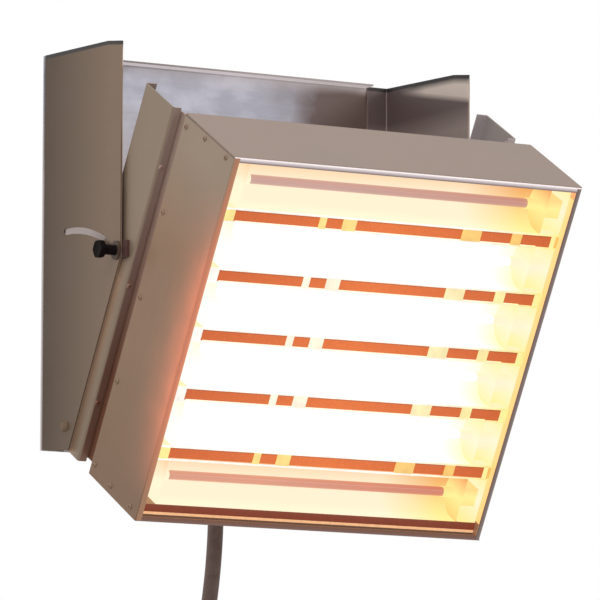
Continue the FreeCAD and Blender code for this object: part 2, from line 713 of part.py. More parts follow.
def make_cover_panel(name, up):
    """Top or bottom of the box: end flanges inside the side panels and the front edge turned in."""
    body = new_body(f"{name}_panel", HEAD)
    outer = box_top if up > 0 else -S.box_foot
    inner = outer - up * S.head_sheet
    lip = outer - up * S.front_lip
    sketch = new_sketch(body, "YZ_Plane")
    corners = [
        (-S.box_back, outer), (-box_front, outer), (-box_front, lip), (S.head_sheet - box_front, lip),
        (S.head_sheet - box_front, inner), (-S.box_back, inner),
    ]
    draw_outline(sketch, *rounded(corners, {1: outer_bend, 4: S.bend_radius}))
    pad(body, sketch, S.box_width, both_ways=True)
    notches = new_sketch(body, "XZ_Plane", box_front)
    for side in SIDES.values():
        reach = half_box - S.front_lip - S.seam
        draw_box(notches, side * reach, side * (half_box + S.side_gap), inner, lip - up * S.seam)
    cut(body, notches, outer_bend)
    flange = inner_half - S.seam
    end = outer - up * (S.head_sheet + S.end_flange)
    ends = new_sketch(body, "XZ_Plane", S.box_back)
    for side in SIDES.values():
        draw_box(ends, side * (flange - S.head_sheet), side * flange, end, inner)
    pad(body, ends, S.box_depth - outer_bend - S.seam)


def make_rear_pan():
    """Rear of the box: a tray between the side panels, with flanges for their screws and the gland's hole."""
    body = new_body("rear_pan", HEAD)
    rear = -S.box_back
    edge = inner_half - S.seam
    front = rear - S.end_flange
    low = inner_low + S.end_flange + S.seam
    high = inner_high - S.end_flange - S.seam
    sketch = new_sketch(body, "XY_Plane", low)
    corners = [
        (-edge, rear), (edge, rear), (edge, front), (edge - S.head_sheet, front),
        (edge - S.head_sheet, rear - S.head_sheet), (S.head_sheet - edge, rear - S.head_sheet),
        (S.head_sheet - edge, front), (-edge, front),
    ]
    bends = {0: outer_bend, 1: outer_bend, 4: S.bend_radius, 5: S.bend_radius}
    draw_outline(sketch, *rounded(corners, bends))
    pad(body, sketch, high - low)
    for level, end in ((low, inner_low + S.seam), (high, inner_high - S.seam)):
        tongue = new_sketch(body, "XZ_Plane", S.box_back)
        reach = edge - S.head_sheet - S.seam
        draw_box(tongue, -reach, reach, level, end)
        pad(body, tongue, S.head_sheet)
    hole = new_sketch(body, "XZ_Plane")
    draw_circle(hole, S.cable_across, gland_above, S.cable_diameter + 2 * S.cable_room)
    cut(body, hole)


def make_panel_screws():
    """Screws along the rear edge and the top and bottom seams of both side panels."""
    heads = []
    count = round(S.rear_screws.value)
    run = S.box_height - 2 * S.screw_edge
    rear_line = -S.box_back - S.screw_inset
    for side in SIDES.values():
        outward = Vector(side, 0, 0)
        for i in range(count):
            up = S.screw_edge - S.box_foot + run * (i / (count - 1))
            heads.append(button(S.screw_head, S.screw_rise, at(side * half_box, rear_line, up), outward))
        for up in (S.screw_inset + inner_low, inner_high - S.screw_inset):
            for ahead in (S.box_back + S.seam_screw_rear, box_front - S.seam_screw_front):
                heads.append(button(S.screw_head, S.screw_rise, at(side * half_box, -ahead, up), outward))
    group("panel_screws", heads, HEAD)


# Reflectors, strips and rails
def make_reflector(number, middle):
    """Trough with straight walls, a round bottom and narrow lips at its mouth."""
    body = new_body(f"reflector_{number}", HEAD)
    mouth = trough_opening / 2
    back = mouth + S.reflector_sheet
    lip = mouth + S.trough_lip
    front = -land_rear
    behind = front + S.reflector_sheet
    bend = -trough_centre
    sketch = new_sketch(body, "YZ_Plane")
    corners = [
        (front, middle + lip), (front, middle + mouth), (bend, middle + mouth), (bend, middle - mouth),
        (front, middle - mouth), (front, middle - lip), (behind, middle - lip), (behind, middle - back),
        (bend, middle - back), (bend, middle + back), (behind, middle + back), (behind, middle + lip),
    ]
    draw_outline(sketch, corners, {2: (bend, middle, -90), 8: (bend, middle, 90)})
    pad(body, sketch, 2 * (holder_face - S.trough_room), both_ways=True)


def make_packing():
    """Heat packing between the reflectors, behind the slots of each strip."""
    bars = []
    half = (pitch - trough_opening) / 2 - S.reflector_sheet - S.packing_room
    front = S.head_sheet + S.packing_room - land_rear
    for middle in land_row:
        bar = new_body("packing_bar", Placement(), in_group=True)
        sketch = new_sketch(bar, "YZ_Plane")
        draw_box(sketch, front, front + S.packing_depth, middle - half, middle + half)
        pad(bar, sketch, 2 * (rail_inner - S.seam), both_ways=True)
        bars.append(bar)
    group("slot_packing", bars, HEAD)


def make_end_reflectors():
    """Bright sheet across each end of each reflector, with a hole for the lamp's cap."""
    sheets = []
    half = trough_opening / 2 + S.reflector_sheet
    for name, side in SIDES.items():
        for middle in lamp_row:
            body = new_body(f"{name}_end_reflector", Placement(), in_group=True)
            sketch = new_sketch(body, "YZ_Plane", side * (holder_face - S.reflector_sheet))
            draw_box(sketch, S.seam - land_rear, S.end_margin - trough_bottom, middle - half, middle + half)
            draw_circle(sketch, -lamp_ahead, middle, S.cap_diameter + 2 * S.cap_room)
            pad(body, sketch, S.reflector_sheet, reverse=side < 0)
            sheets.append(body)
    group("end_reflectors", sheets, HEAD)


def make_land_strip(number, middle):
    """Strip over the gap between two reflectors, with a row of cooling slots."""
    body = new_body(f"land_strip_{number}", HEAD)
    half = S.land_height / 2
    sketch = new_sketch(body, "XZ_Plane", land_rear)
    draw_box(sketch, -land_half, land_half, middle - half, middle + half)
    low = middle - half + S.slot_rim
    high = middle + half - S.slot_rim
    left_end = S.slot_start - land_half
    right_end = land_half - S.slot_end
    second = left_end + S.slot_one + S.web_one
    third = second + S.slot_two + S.web_two
    fifth = right_end - S.slot_five
    fourth = fifth - S.web_four - S.slot_four
    draw_box(sketch, left_end, left_end + S.slot_one, low, high)
    draw_box(sketch, second, second + S.slot_two, low, high)
    draw_box(sketch, third, fourth - S.web_three, low, high)
    draw_box(sketch, fourth, fourth + S.slot_four, low, high)
    draw_box(sketch, fifth, right_end, low, high)
    pad(body, sketch, S.land_sheet)


def make_edge_strip(name, edge, height):
    """Plain strip between the outermost reflector and the box's top or bottom; its height has a sign."""
    body = new_body(f"{name}_edge_strip", HEAD)
    sketch = new_sketch(body, "XZ_Plane", land_rear)
    draw_box(sketch, -land_half, land_half, edge, edge + height)
    pad(body, sketch, S.land_sheet)


def make_lamp_rail(name, side):
    """Upright angle on the side panel: carries the lamp holders, and its tabs carry the strips."""
    body = new_body(f"{name}_lamp_rail", HEAD)
    outer = side * rail_outer
    inner = side * rail_inner
    tip = side * (rail_outer - S.rail_tab)
    front = -land_rear
    sketch = new_sketch(body, "XY_Plane", inner_low + S.seam)
    draw_outline(sketch, [
        (outer, front), (outer, front + S.rail_depth), (inner, front + S.rail_depth),
        (inner, front + S.head_sheet), (tip, front + S.head_sheet), (tip, front),
    ])
    pad(body, sketch, inner_high - inner_low - 2 * S.seam)
    windows = new_sketch(body, "XZ_Plane", land_rear)
    half = (pitch - S.rail_tab_height) / 2
    for middle in lamp_row:
        draw_box(windows, inner, tip, middle - half, middle + half)
    cut(body, windows, S.head_sheet)


def make_holders(name, side):
    """Ceramic lamp holders on the rail, each with a round seat for the lamp's cap."""
    holders = []
    half = S.holder_height / 2
    front = -lamp_ahead - S.holder_depth / 2
    rear = S.holder_depth / 2 - lamp_ahead
    for middle in lamp_row:
        holder = new_body(f"{name}_lamp_holder", Placement(), in_group=True)
        sketch = new_sketch(holder, "YZ_Plane", side * holder_face)
        draw_box(sketch, front, rear, middle - half, middle + half)
        pad(holder, sketch, rail_inner - holder_face, reverse=side < 0)
        seat = new_sketch(holder, "YZ_Plane", side * holder_face)
        draw_circle(seat, -lamp_ahead, middle, S.cap_diameter + 2 * S.cap_room)
        cut(holder, seat, S.cap_seat, reverse=side > 0)
        holders.append(holder)
    group(f"{name}_lamp_holders", holders, HEAD)


def make_lamp(number, middle):
    """Quartz tube closed at both ends round the filament's space."""
    half = tube_half
    radius = S.tube_diameter / 2
    bore = S.filament_diameter / 2 + S.running_gap
    end = tube_half - S.filament_end + S.running_gap
    place = HEAD * Placement(at(0, -lamp_ahead, middle), Rotation())
    body = turned(f"lamp_tube_{number}", place, [(-half, 0), (-half, radius), (half, radius), (half, 0)])
    hollow = new_sketch(body, "XZ_Plane")
    draw_outline(hollow, [(-end, 0), (-end, bore), (end, bore), (end, 0)])
    groove = body.newObject("PartDesign::Groove", "Bore")
    groove.Profile = hollow
    axis = next(part for part in body.Origin.OriginFeatures if part.Role == "X_Axis")
    groove.ReferenceAxis = (axis, [""])


def make_lamp_insides():
    """Filaments inside the tubes and the ceramic caps on their ends."""
    filaments = []
    caps = []
    filament_half = tube_half - S.filament_end
    for middle in lamp_row:
        spot = at(-filament_half, -lamp_ahead, middle)
        filaments.append(rod(S.filament_diameter, 2 * filament_half, spot, Vector(1, 0, 0)))
        for side in SIDES.values():
            spot = at(side * tube_half, -lamp_ahead, middle)
            caps.append(rod(S.cap_diameter, S.cap_length, spot, Vector(side, 0, 0)))
    group("filaments", filaments, HEAD)
    group("lamp_caps", caps, HEAD)


# Supply
def make_terminal_block():
    """Ceramic terminal block on the rear pan, beside the gland."""
    body = new_body("terminal_block", HEAD)
    sketch = new_sketch(body, "XZ_Plane", S.box_back + S.head_sheet)
    low = gland_above + S.gland_flats
    draw_box(sketch, S.cable_across - S.terminal_width / 2, S.cable_across + S.terminal_width / 2,
             low, low + S.terminal_height)
    pad(body, sketch, S.terminal_depth)


def make_wire_loom():
    """Sleeved looms: one up each side panel, each with a branch to the terminal block."""
    looms = []
    ahead = -S.box_back - S.head_sheet - S.terminal_depth / 2
    branch_up = gland_above + S.gland_flats + S.terminal_height / 2
    for side in SIDES.values():
        across = side * (inner_half - S.loom_diameter / 2 - S.seam - S.head_sheet - S.running_gap)
        foot = at(across, ahead, S.loom_end - S.box_foot)
        upright = rod(S.loom_diameter, S.box_height - 2 * S.loom_end, foot, Vector(0, 0, 1))
        block_end = S.cable_across + side * (S.terminal_width / 2)
        length = side * (across - block_end)
        branch = rod(S.loom_diameter, length, at(block_end, ahead, branch_up), Vector(side, 0, 0))
        loom = doc.addObject("Part::Fuse", "Loom")
        loom.Base = upright
        loom.Tool = branch
        looms.append(loom)
    group("wire_loom", looms, HEAD)


def make_gland():
    """Cable gland on the rear pan: hexagon and round nose, bored for the cable."""
    body = new_body("cable_gland", HEAD)
    hexagon = new_sketch(body, "XZ_Plane", S.box_back)
    draw_hexagon(hexagon, S.cable_across, gland_above, S.gland_flats)
    pad(body, hexagon, S.gland_hex, reverse=True)
    nose = new_sketch(body, "XZ_Plane", S.box_back - S.gland_hex)
    draw_circle(nose, S.cable_across, gland_above, S.gland_nose_diameter)
    pad(body, nose, S.gland_nose, reverse=True)
    bore = new_sketch(body, "XZ_Plane")
    draw_circle(bore, S.cable_across, gland_above, S.cable_diameter + 2 * S.cable_room)
    cut(body, bore)


def make_saddle():
    """Strap that clamps the cable to the back plate, with its two screws."""
    axis_y = cable_from_wall
    inside = S.cable_diameter / 2 + S.cable_room
    outside = inside + S.saddle_sheet
    face = -S.bracket_sheet
    shelf = face - S.saddle_sheet
    low = S.saddle_above_foot - S.bracket_height / 2
    middle = S.cable_across
    body = new_body("cable_clamp", WALL)
    sketch = new_sketch(body, "XY_Plane", low)
    corners = [
        (middle - outside - S.saddle_foot, face), (middle - outside - S.saddle_foot, shelf),
        (middle - outside, shelf), (middle - outside, -axis_y), (middle + outside, -axis_y),
        (middle + outside, shelf), (middle + outside + S.saddle_foot, shelf),
        (middle + outside + S.saddle_foot, face), (middle + inside, face), (middle + inside, -axis_y),
        (middle - inside, -axis_y), (middle - inside, face),
    ]
    draw_outline(sketch, corners, {3: (middle, -axis_y, 90), 9: (middle, -axis_y, -90)})
    pad(body, sketch, S.saddle_height)
    heads = []
    for side in SIDES.values():
        spot = at(middle + side * (outside + S.saddle_foot / 2), shelf, low + S.saddle_height / 2)
        heads.append(button(S.rivet_head, S.rivet_rise, spot, Vector(0, -1, 0)))
    group("cable_clamp_screws", heads, WALL)


# Cable
def bend_radii(points):
    """Radius of the arc at each inner point, from its share of the shorter run and half the turn."""
    radii = []
    for before, here, after in zip(points, points[1:], points[2:]):
        into = here - before
        out = after - here
        turn = into.getAngle(out)
        radii.append(BEND_SHARE * min(into.Length, out.Length) / math.tan(turn / 2))
    return radii


def route_wire(points):
    """Straight runs joined by tangent arcs."""
    edges = []
    last = points[0]
    for before, here, after in zip(points, points[1:], points[2:]):
        into = (here - before).normalize()
        out = (after - here).normalize()
        reach = BEND_SHARE * min((here - before).Length, (after - here).Length)
        start = here - into * reach
        end = here + out * reach
        weight = math.cos(into.getAngle(out) / 2)
        middle = (start + here * (2 * weight) + end) * (1 / (2 + 2 * weight))
        edges.append(Part.LineSegment(last, start).toShape())
        edges.append(Part.Arc(start, middle, end).toShape())
        last = end
    edges.append(Part.LineSegment(last, points[-1]).toShape())
    return Part.Wire(edges)


def biarc(start, along, end, beyond):
    """Two tangent arcs from one point and direction to another."""
    chord = end - start
    both = along + beyond
    gap = 2 * (1 - along.dot(beyond))
    lean = chord.dot(both)
    reach = (math.sqrt(lean * lean + gap * chord.dot(chord)) - lean) / gap
    first = start + along * reach
    second = end - beyond * reach
    joint = (first + second) * 0.5
    arcs = []
    for a, corner, b in ((start, first, joint), (joint, second, end)):
        weight = math.cos((corner - a).getAngle(b - corner) / 2)
        middle = (a + corner * (2 * weight) + b) * (1 / (2 + 2 * weight))
        arcs.append(Part.Arc(a, middle, b).toShape())
    return arcs


def tube(name, wire):
    """A round cable along a wire, compared with its section times its length."""
    start = wire.Edges[0].valueAt(wire.Edges[0].FirstParameter)
    along = wire.Edges[0].tangentAt(wire.Edges[0].FirstParameter)
    radius = S.cable_diameter.value / 2
    profile = Part.Wire([Part.Circle(start, along, radius).toShape()])
    feature = doc.addObject("Part::Feature", name)
    feature.Label = name
    feature.Shape = wire.makePipeShell([profile], True, False)
    feature.Placement = WALL
    share = feature.Shape.Volume / (math.pi * radius**2 * wire.Length)
    print(f"{name}: {wire.Length:.0f} mm long, volume {share:.4f} of section times length")
    nodes.append(feature)


cable_start = at(S.cable_across, -cable_from_wall, HINGE_Z + clamp_top)
# The free stretch, from its clamp to where the coil starts.
CABLE_ROUTE = [
    Vector(0, 0, 0), Vector(0.5, -0.5, -46), Vector(-1, -3, -104), Vector(-9, -9, -162),
    Vector(-22, -15, -222), Vector(-28, -19, -290),
]


def make_lead():
    """Flexing stretch of the cable: one arc from the gland's nose down to the clamp."""
    nose = HEAD.multVec(at(S.cable_across, -nose_ahead, gland_above))
    out = HEAD.Rotation.multVec(Vector(0, 1, 0))
    down = Vector(0, 0, -1)
    turn = out.getAngle(down)
    radius = (cable_start.y - nose.y) / (1 + math.sin(turn - math.pi / 2))
    bend_end = Vector(nose.x, cable_start.y, nose.z - radius * math.cos(turn - math.pi / 2))
    corner = nose + out * (radius * math.tan(turn / 2))
    weight = math.cos(turn / 2)
    middle = (nose + corner * (2 * weight) + bend_end) * (1 / (2 + 2 * weight))
    edges = [Part.Arc(nose, middle, bend_end).toShape(), Part.LineSegment(bend_end, cable_start).toShape()]
    print(f"flex_lead: radius {radius:.0f} mm, straight end {bend_end.z - cable_start.z:.1f} mm")
    tube("flex_lead", Part.Wire(edges))


def make_cable():
    """Hanging stretch below the clamp, then the put-away length as a coil with its tie and bared cores."""
    points = [cable_start + step for step in CABLE_ROUTE]
    print("mains_cable radii:", [round(radius) for radius in bend_radii(points)])
    tube("mains_cable", route_wire(points))

    radius = S.coil_diameter.value / 2
    step = (S.cable_diameter + S.coil_gap).value
    entry = points[-1]
    along = (points[-1] - points[-2]).normalize()
    lean = math.atan2(along.x, -along.z)
    centre = entry + Vector(math.cos(lean), 0, math.sin(lean)) * radius

    def on_coil(turn):
        """Point of the coil after a number of turns."""
        angle = math.pi + lean + 2 * math.pi * turn
        return centre + Vector(math.cos(angle) * radius, -step * turn, math.sin(angle) * radius)

    def heading(turn):
        """Direction of the coil after a number of turns."""
        angle = math.pi + lean + 2 * math.pi * turn
        slope = -step / (2 * math.pi * radius)
        return Vector(-math.sin(angle), slope, math.cos(angle)).normalize()

    quarters = round(S.coil_quarters.value)
    edges = []
    for i in range(quarters):
        begin = heading(i / 4) if i else along
        edges += biarc(on_coil(i / 4), begin, on_coil((i + 1) / 4), heading((i + 1) / 4))
    wire = Part.Wire(edges)
    tube("cable_coil", wire)
    per_quarter = 40
    spots = wire.discretize(per_quarter * quarters)
    apart = min((p - q).Length for i, p in enumerate(spots) for q in spots[i + per_quarter:])
    print(f"cable_coil: least gap to itself {apart - S.cable_diameter.value:.2f} mm")

    make_tie(on_coil, lean)
    make_cores(on_coil(quarters / 4), heading(quarters / 4))


def make_tie(on_coil, lean):
    """Strap round the turns at the top of the coil."""
    first = 0.75 - lean / (2 * math.pi)
    middle = (on_coil(first) + on_coil(first + 1)) * 0.5
    body = new_body("coil_tie", Placement(middle, Rotation()))
    sketch = new_sketch(body, "YZ_Plane")
    deep = S.cable_diameter + S.coil_gap / 2 + S.tie_room
    tall = S.cable_diameter / 2 + S.tie_room
    draw_box(sketch, -deep - S.tie_wall, deep + S.tie_wall, -tall - S.tie_wall, tall + S.tie_wall)
    draw_box(sketch, -deep, deep, -tall, tall)
    pad(body, sketch, S.tie_width, both_ways=True)


def make_cores(end, along):
    """Insulated cores with bared ends, where the cable stops."""
    members = []
    for i in range(CORES):
        angle = 2 * math.pi * i / CORES
        offset = Vector(0, math.cos(angle), math.sin(angle)) * (S.core_circle.value / 2)
        core = rod(S.core_diameter, S.core_length, offset, Vector(1, 0, 0))
        bare = rod(S.ferrule_diameter, S.core_length + S.ferrule_length, offset, Vector(1, 0, 0))
        whole = doc.addObject("Part::Fuse", "Core")
        whole.Base = core
        whole.Tool = bare
        members.append(whole)
    group("cable_cores", members, Placement(end, Rotation(Vector(1, 0, 0), along)))


def build():
    """Makes every sub-part."""
    make_back_plate()
    clamps = [make_clamp(name, side) for name, side in SIDES.items()]
    for name, members in zip(("clamp_bolts", "clamp_washers", "friction_pads"), zip(*clamps)):
        group(name, list(members), HEAD)
    for name, side in SIDES.items():
        make_side_plate(f"{name}_side_plate", side)
        make_cheek(name, side)
        make_zed(name, side)
        make_side_panel(name, side)
        make_lamp_rail(name, side)
        make_holders(name, side)
    make_bracket_rivets()
    make_hinge()
    make_cheek_screws()
    make_cover_panel("top", 1)
    make_cover_panel("bottom", -1)
    make_rear_pan()
    make_panel_screws()
    for number, middle in enumerate(lamp_row, start=1):
        make_reflector(number, middle)
        make_lamp(number, middle)
    for number, middle in enumerate(land_row, start=1):
        make_land_strip(number, middle)
    make_edge_strip("top", inner_high - S.seam, S.seam - S.land_height / 2)
    make_edge_strip("bottom", inner_low + S.seam, S.foot_margin + S.land_height / 2 - S.seam)
    make_packing()
    make_end_reflectors()
    make_lamp_insides()
    make_terminal_block()
    make_wire_loom()
    make_gland()
    make_saddle()
    make_lead()
    make_cable()


def write():
    """Checks every object and writes each sub-part to its own file."""
    doc.recompute()
    failed = [item.Name for item in doc.Objects if {"Invalid", "Error"} & set(item.State)]
    for node in nodes:
        if node.Shape.isNull() or not node.Shape.isValid() or not node.Shape.Solids:
            failed.append(node.Label)
    if failed:
        raise RuntimeError(f"failed: {failed}")
    os.makedirs("parts", exist_ok=True)
    for node in nodes:
        node.Shape.exportStep(f"parts/{node.Label}.step")
    print(f"{len(nodes)} sub-parts")


build()
write()
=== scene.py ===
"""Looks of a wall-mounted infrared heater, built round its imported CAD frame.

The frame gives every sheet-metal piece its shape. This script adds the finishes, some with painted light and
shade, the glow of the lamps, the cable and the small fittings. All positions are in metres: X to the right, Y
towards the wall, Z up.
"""
import json
import logging
import math
from collections.abc import Callable
from dataclasses import dataclass
from enum import Enum

import bmesh
import bpy
from mathutils import Matrix, Vector


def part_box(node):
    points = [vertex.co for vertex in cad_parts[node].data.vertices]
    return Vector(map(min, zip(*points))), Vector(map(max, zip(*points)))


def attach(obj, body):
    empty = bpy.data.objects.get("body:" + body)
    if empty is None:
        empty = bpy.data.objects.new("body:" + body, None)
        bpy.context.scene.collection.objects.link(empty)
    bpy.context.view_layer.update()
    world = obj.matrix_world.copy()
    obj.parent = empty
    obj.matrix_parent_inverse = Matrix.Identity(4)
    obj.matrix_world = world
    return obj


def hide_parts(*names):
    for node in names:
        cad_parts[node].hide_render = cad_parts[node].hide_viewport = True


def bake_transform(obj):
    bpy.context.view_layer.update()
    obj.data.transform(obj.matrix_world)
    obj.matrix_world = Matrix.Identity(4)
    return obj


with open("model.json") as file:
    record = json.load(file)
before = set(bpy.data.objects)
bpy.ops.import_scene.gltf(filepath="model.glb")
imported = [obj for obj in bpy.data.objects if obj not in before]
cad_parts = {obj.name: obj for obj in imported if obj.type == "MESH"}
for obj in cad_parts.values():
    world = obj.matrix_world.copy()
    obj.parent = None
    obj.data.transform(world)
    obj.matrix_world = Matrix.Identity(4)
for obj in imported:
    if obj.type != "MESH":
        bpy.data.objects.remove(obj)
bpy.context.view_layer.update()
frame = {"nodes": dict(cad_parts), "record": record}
LOG = logging.getLogger("heater")

# Short names for types: a Triple is a place or a stretch, a Carry is one range that is carried to another
Colour = tuple[float, float, float]
Triple = tuple[float, float, float]
Range = tuple[float, float]
Carry = tuple[float, float, float, float]
Stops = tuple[tuple[float, Colour], ...]
Profile = tuple[tuple[float, float], ...]
Socket = bpy.types.NodeSocket
Material = bpy.types.Material
Piece = bpy.types.Object
Shape = bmesh.types.BMesh

# Places and sizes that several pieces share
HINGE = Vector((0.0, -0.055, -0.190))
TILT = math.radians(30)
TO_HEAD = Matrix.Rotation(-TILT, 3, "X")
FROM_HEAD = TO_HEAD.transposed()
LAMPS = range(1, 7)
BOX_BACK = 0.066
CABLE_ACROSS = -0.006

# Mesh and shader settings
SHARP_ANGLE = math.radians(38)
SAME_SPOT = 1e-6
CURVE_STEPS = 8
CURVE_ORDER = 3
TUBE_STEPS = 5
NOISE_RANGE: Range = (0.3, 0.7)
FACING: Triple = (1, -1, 1)
BLACK: Colour = (0.0, 0.0, 0.0)


class Body(Enum):
    """Moving bodies of the frame."""

    BRACKET = "bracket"
    HEAD = "head"
    LEFT_KNOB = "left_knob"
    RIGHT_KNOB = "right_knob"


class Side(Enum):
    """Left and right of the heater, seen from the front."""

    LEFT = -1
    RIGHT = 1

    @property
    def word(self) -> str:
        """The side's name as the frame spells it."""
        return self.name.lower()


def in_head(across: float, ahead: float, up: float) -> Vector:
    """A point of the head at rest.

    Args:
        across: distance to the right of the middle.
        ahead: distance ahead of the hinge, square to the lamp box's rear.
        up: distance above the hinge along the lamp box.

    Returns:
        The point in the shared frame.
    """
    return HINGE + FROM_HEAD @ Vector((across, -ahead, up))


def lamp_up(number: int) -> float:
    """Height of a lamp above the hinge, along the head."""
    low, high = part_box(f"lamp_tube_{number}")
    return (TO_HEAD @ ((low + high) / 2 - HINGE)).z


PITCH = (lamp_up(LAMPS[0]) - lamp_up(LAMPS[-1])) / (len(LAMPS) - 1)


def tone(red: int, green: int, blue: int) -> Colour:
    """A colour of 0 to 255 steps on screen, as the linear values that shaders take."""
    shares = (red / 255, green / 255, blue / 255)
    return tuple(s / 12.92 if s <= 0.04045 else ((s + 0.055) / 1.055) ** 2.4 for s in shares)


# Mesh building
def link(name: str, data: bpy.types.ID) -> Piece:
    """Puts data into the scene as an object at the origin."""
    item = bpy.data.objects.new(name, data)
    bpy.context.scene.collection.objects.link(item)
    return item


def new_piece(name: str, shape: Shape, finish: Material) -> Piece:
    """Turns a bmesh into a piece of the object.

    Args:
        name: the piece's name.
        shape: its mesh, which is freed.
        finish: its material.

    Returns:
        The new object.
    """
    mesh = bpy.data.meshes.new(name)
    shape.to_mesh(mesh)
    shape.free()
    mesh.materials.append(finish)
    mesh.shade_smooth()
    mesh.set_sharp_from_angle(angle=SHARP_ANGLE)
    return link(name, mesh)


def turned_shape(profile: list[tuple[float, float]], steps: int) -> Shape:
    """A closed shape turned about Z.

    Args:
        profile: radius and height of each corner, from the bottom to the top.
        steps: sides of the full turn.

    Returns:
        The shape.
    """
    shape = bmesh.new()
    corners = [shape.verts.new((radius, 0, height)) for radius, height in profile]
    edges = [shape.edges.new(pair) for pair in zip(corners, corners[1:])]
    bmesh.ops.spin(
        shape, geom=corners + edges, cent=(0, 0, 0), axis=(0, 0, 1), dvec=(0, 0, 0), angle=2 * math.pi,
        steps=steps, use_merge=True, use_duplicate=False,
    )
    bmesh.ops.remove_doubles(shape, verts=shape.verts, dist=SAME_SPOT)
    bmesh.ops.recalc_face_normals(shape, faces=shape.faces)
    return shape


def grow_faces(shape: Shape, height: float) -> None:
    """Makes a prism along Z from the flat faces of a shape."""
    body = bmesh.ops.extrude_face_region(shape, geom=shape.faces[:])
    top = [item for item in body["geom"] if isinstance(item, bmesh.types.BMVert)]
    bmesh.ops.translate(shape, verts=top, vec=(0, 0, height))
    bmesh.ops.recalc_face_normals(shape, faces=shape.faces)


def bevel_edges(shape: Shape, edges: list[bmesh.types.BMEdge], width: float, segments: int) -> None:
    """Rounds edges of a shape."""
    bmesh.ops.bevel(
        shape, geom=edges, offset=width, offset_type="OFFSET", segments=segments, profile=0.5, affect="EDGES",
        material=-1, clamp_overlap=True,
    )


def edge_run(edge: bmesh.types.BMEdge, axis: int) -> float:
    """How far an edge runs along one axis."""
    one, two = edge.verts
    return abs(one.co[axis] - two.co[axis])


def off_axis(vert: bmesh.types.BMVert) -> float:
    """Distance of a corner from the Z axis."""
    return Vector((vert.co.x, vert.co.y)).length


def scale_across(vert: bmesh.types.BMVert, factor: float) -> None:
    """Moves a corner towards the Z axis or away from it."""
    vert.co.x *= factor
    vert.co.y *= factor


def stand(axis: Vector, spot: Vector) -> Matrix:
    """The matrix that carries a shape's Z axis to a direction and its origin to a spot."""
    return Matrix.Translation(spot) @ axis.to_track_quat("Z", "Y").to_matrix().to_4x4()


def add_shape(target: Shape, source: Shape, place: Matrix) -> None:
    """Adds a placed copy of one shape to another."""
    mesh = bpy.data.meshes.new("copy")
    source.to_mesh(mesh)
    mesh.transform(place)
    target.from_mesh(mesh)
    bpy.data.meshes.remove(mesh)


def node_spots(node: str) -> list[Vector]:
    """Middles of the separate solids in a CAD node, in the order of their places."""
    shape = bmesh.new()
    shape.from_mesh(frame["nodes"][node].data)
    bmesh.ops.remove_doubles(shape, verts=shape.verts, dist=SAME_SPOT)
    waiting = set(shape.verts)
    spots = []
    while waiting:
        island = {waiting.pop()}
        edge_of = list(island)
        while edge_of:
            for edge in edge_of.pop().link_edges:
                for vert in edge.verts:
                    if vert in waiting:
                        waiting.remove(vert)
                        island.add(vert)
                        edge_of.append(vert)
        low = Vector(min(v.co[i] for v in island) for i in range(3))
        high = Vector(max(v.co[i] for v in island) for i in range(3))
        spots.append((low + high) / 2)
    shape.free()
    return sorted(spots, key=tuple)


def tube_curve(name: str, points: list[Vector], radius: float) -> Piece:
    """A smooth tube on one open NURBS spline.

    Args:
        name: the curve's name.
        points: control points.
        radius: the tube's radius, or 0 for a bare line.

    Returns:
        The curve object.
    """
    data = bpy.data.curves.new(name, "CURVE")
    data.dimensions = "3D"
    data.resolution_u = CURVE_STEPS
    data.render_resolution_u = CURVE_STEPS
    data.bevel_depth = radius
    data.bevel_resolution = TUBE_STEPS
    data.use_fill_caps = True
    line = data.splines.new("NURBS")
    line.points.add(len(points) - 1)
    for point, spot in zip(line.points, points):
        point.co = (*spot, 1.0)
    line.order_u = CURVE_ORDER
    line.use_endpoint_u = True
    return link(name, data)


def tube_mesh(name: str, points: list[Vector], radius: float, steps: int = CURVE_STEPS) -> bpy.types.Mesh:
    """The mesh of a smooth tube, without its curve.

    Args:
        name: the mesh's name.
        points: control points.
        radius: the tube's radius, or 0 for a bare line.
        steps: points of the line between two control points.

    Returns:
        The mesh.
    """
    curve = tube_curve(name, points, radius)
    curve.data.resolution_u = steps
    mesh = bpy.data.meshes.new_from_object(curve)
    bpy.data.objects.remove(curve)
    return mesh


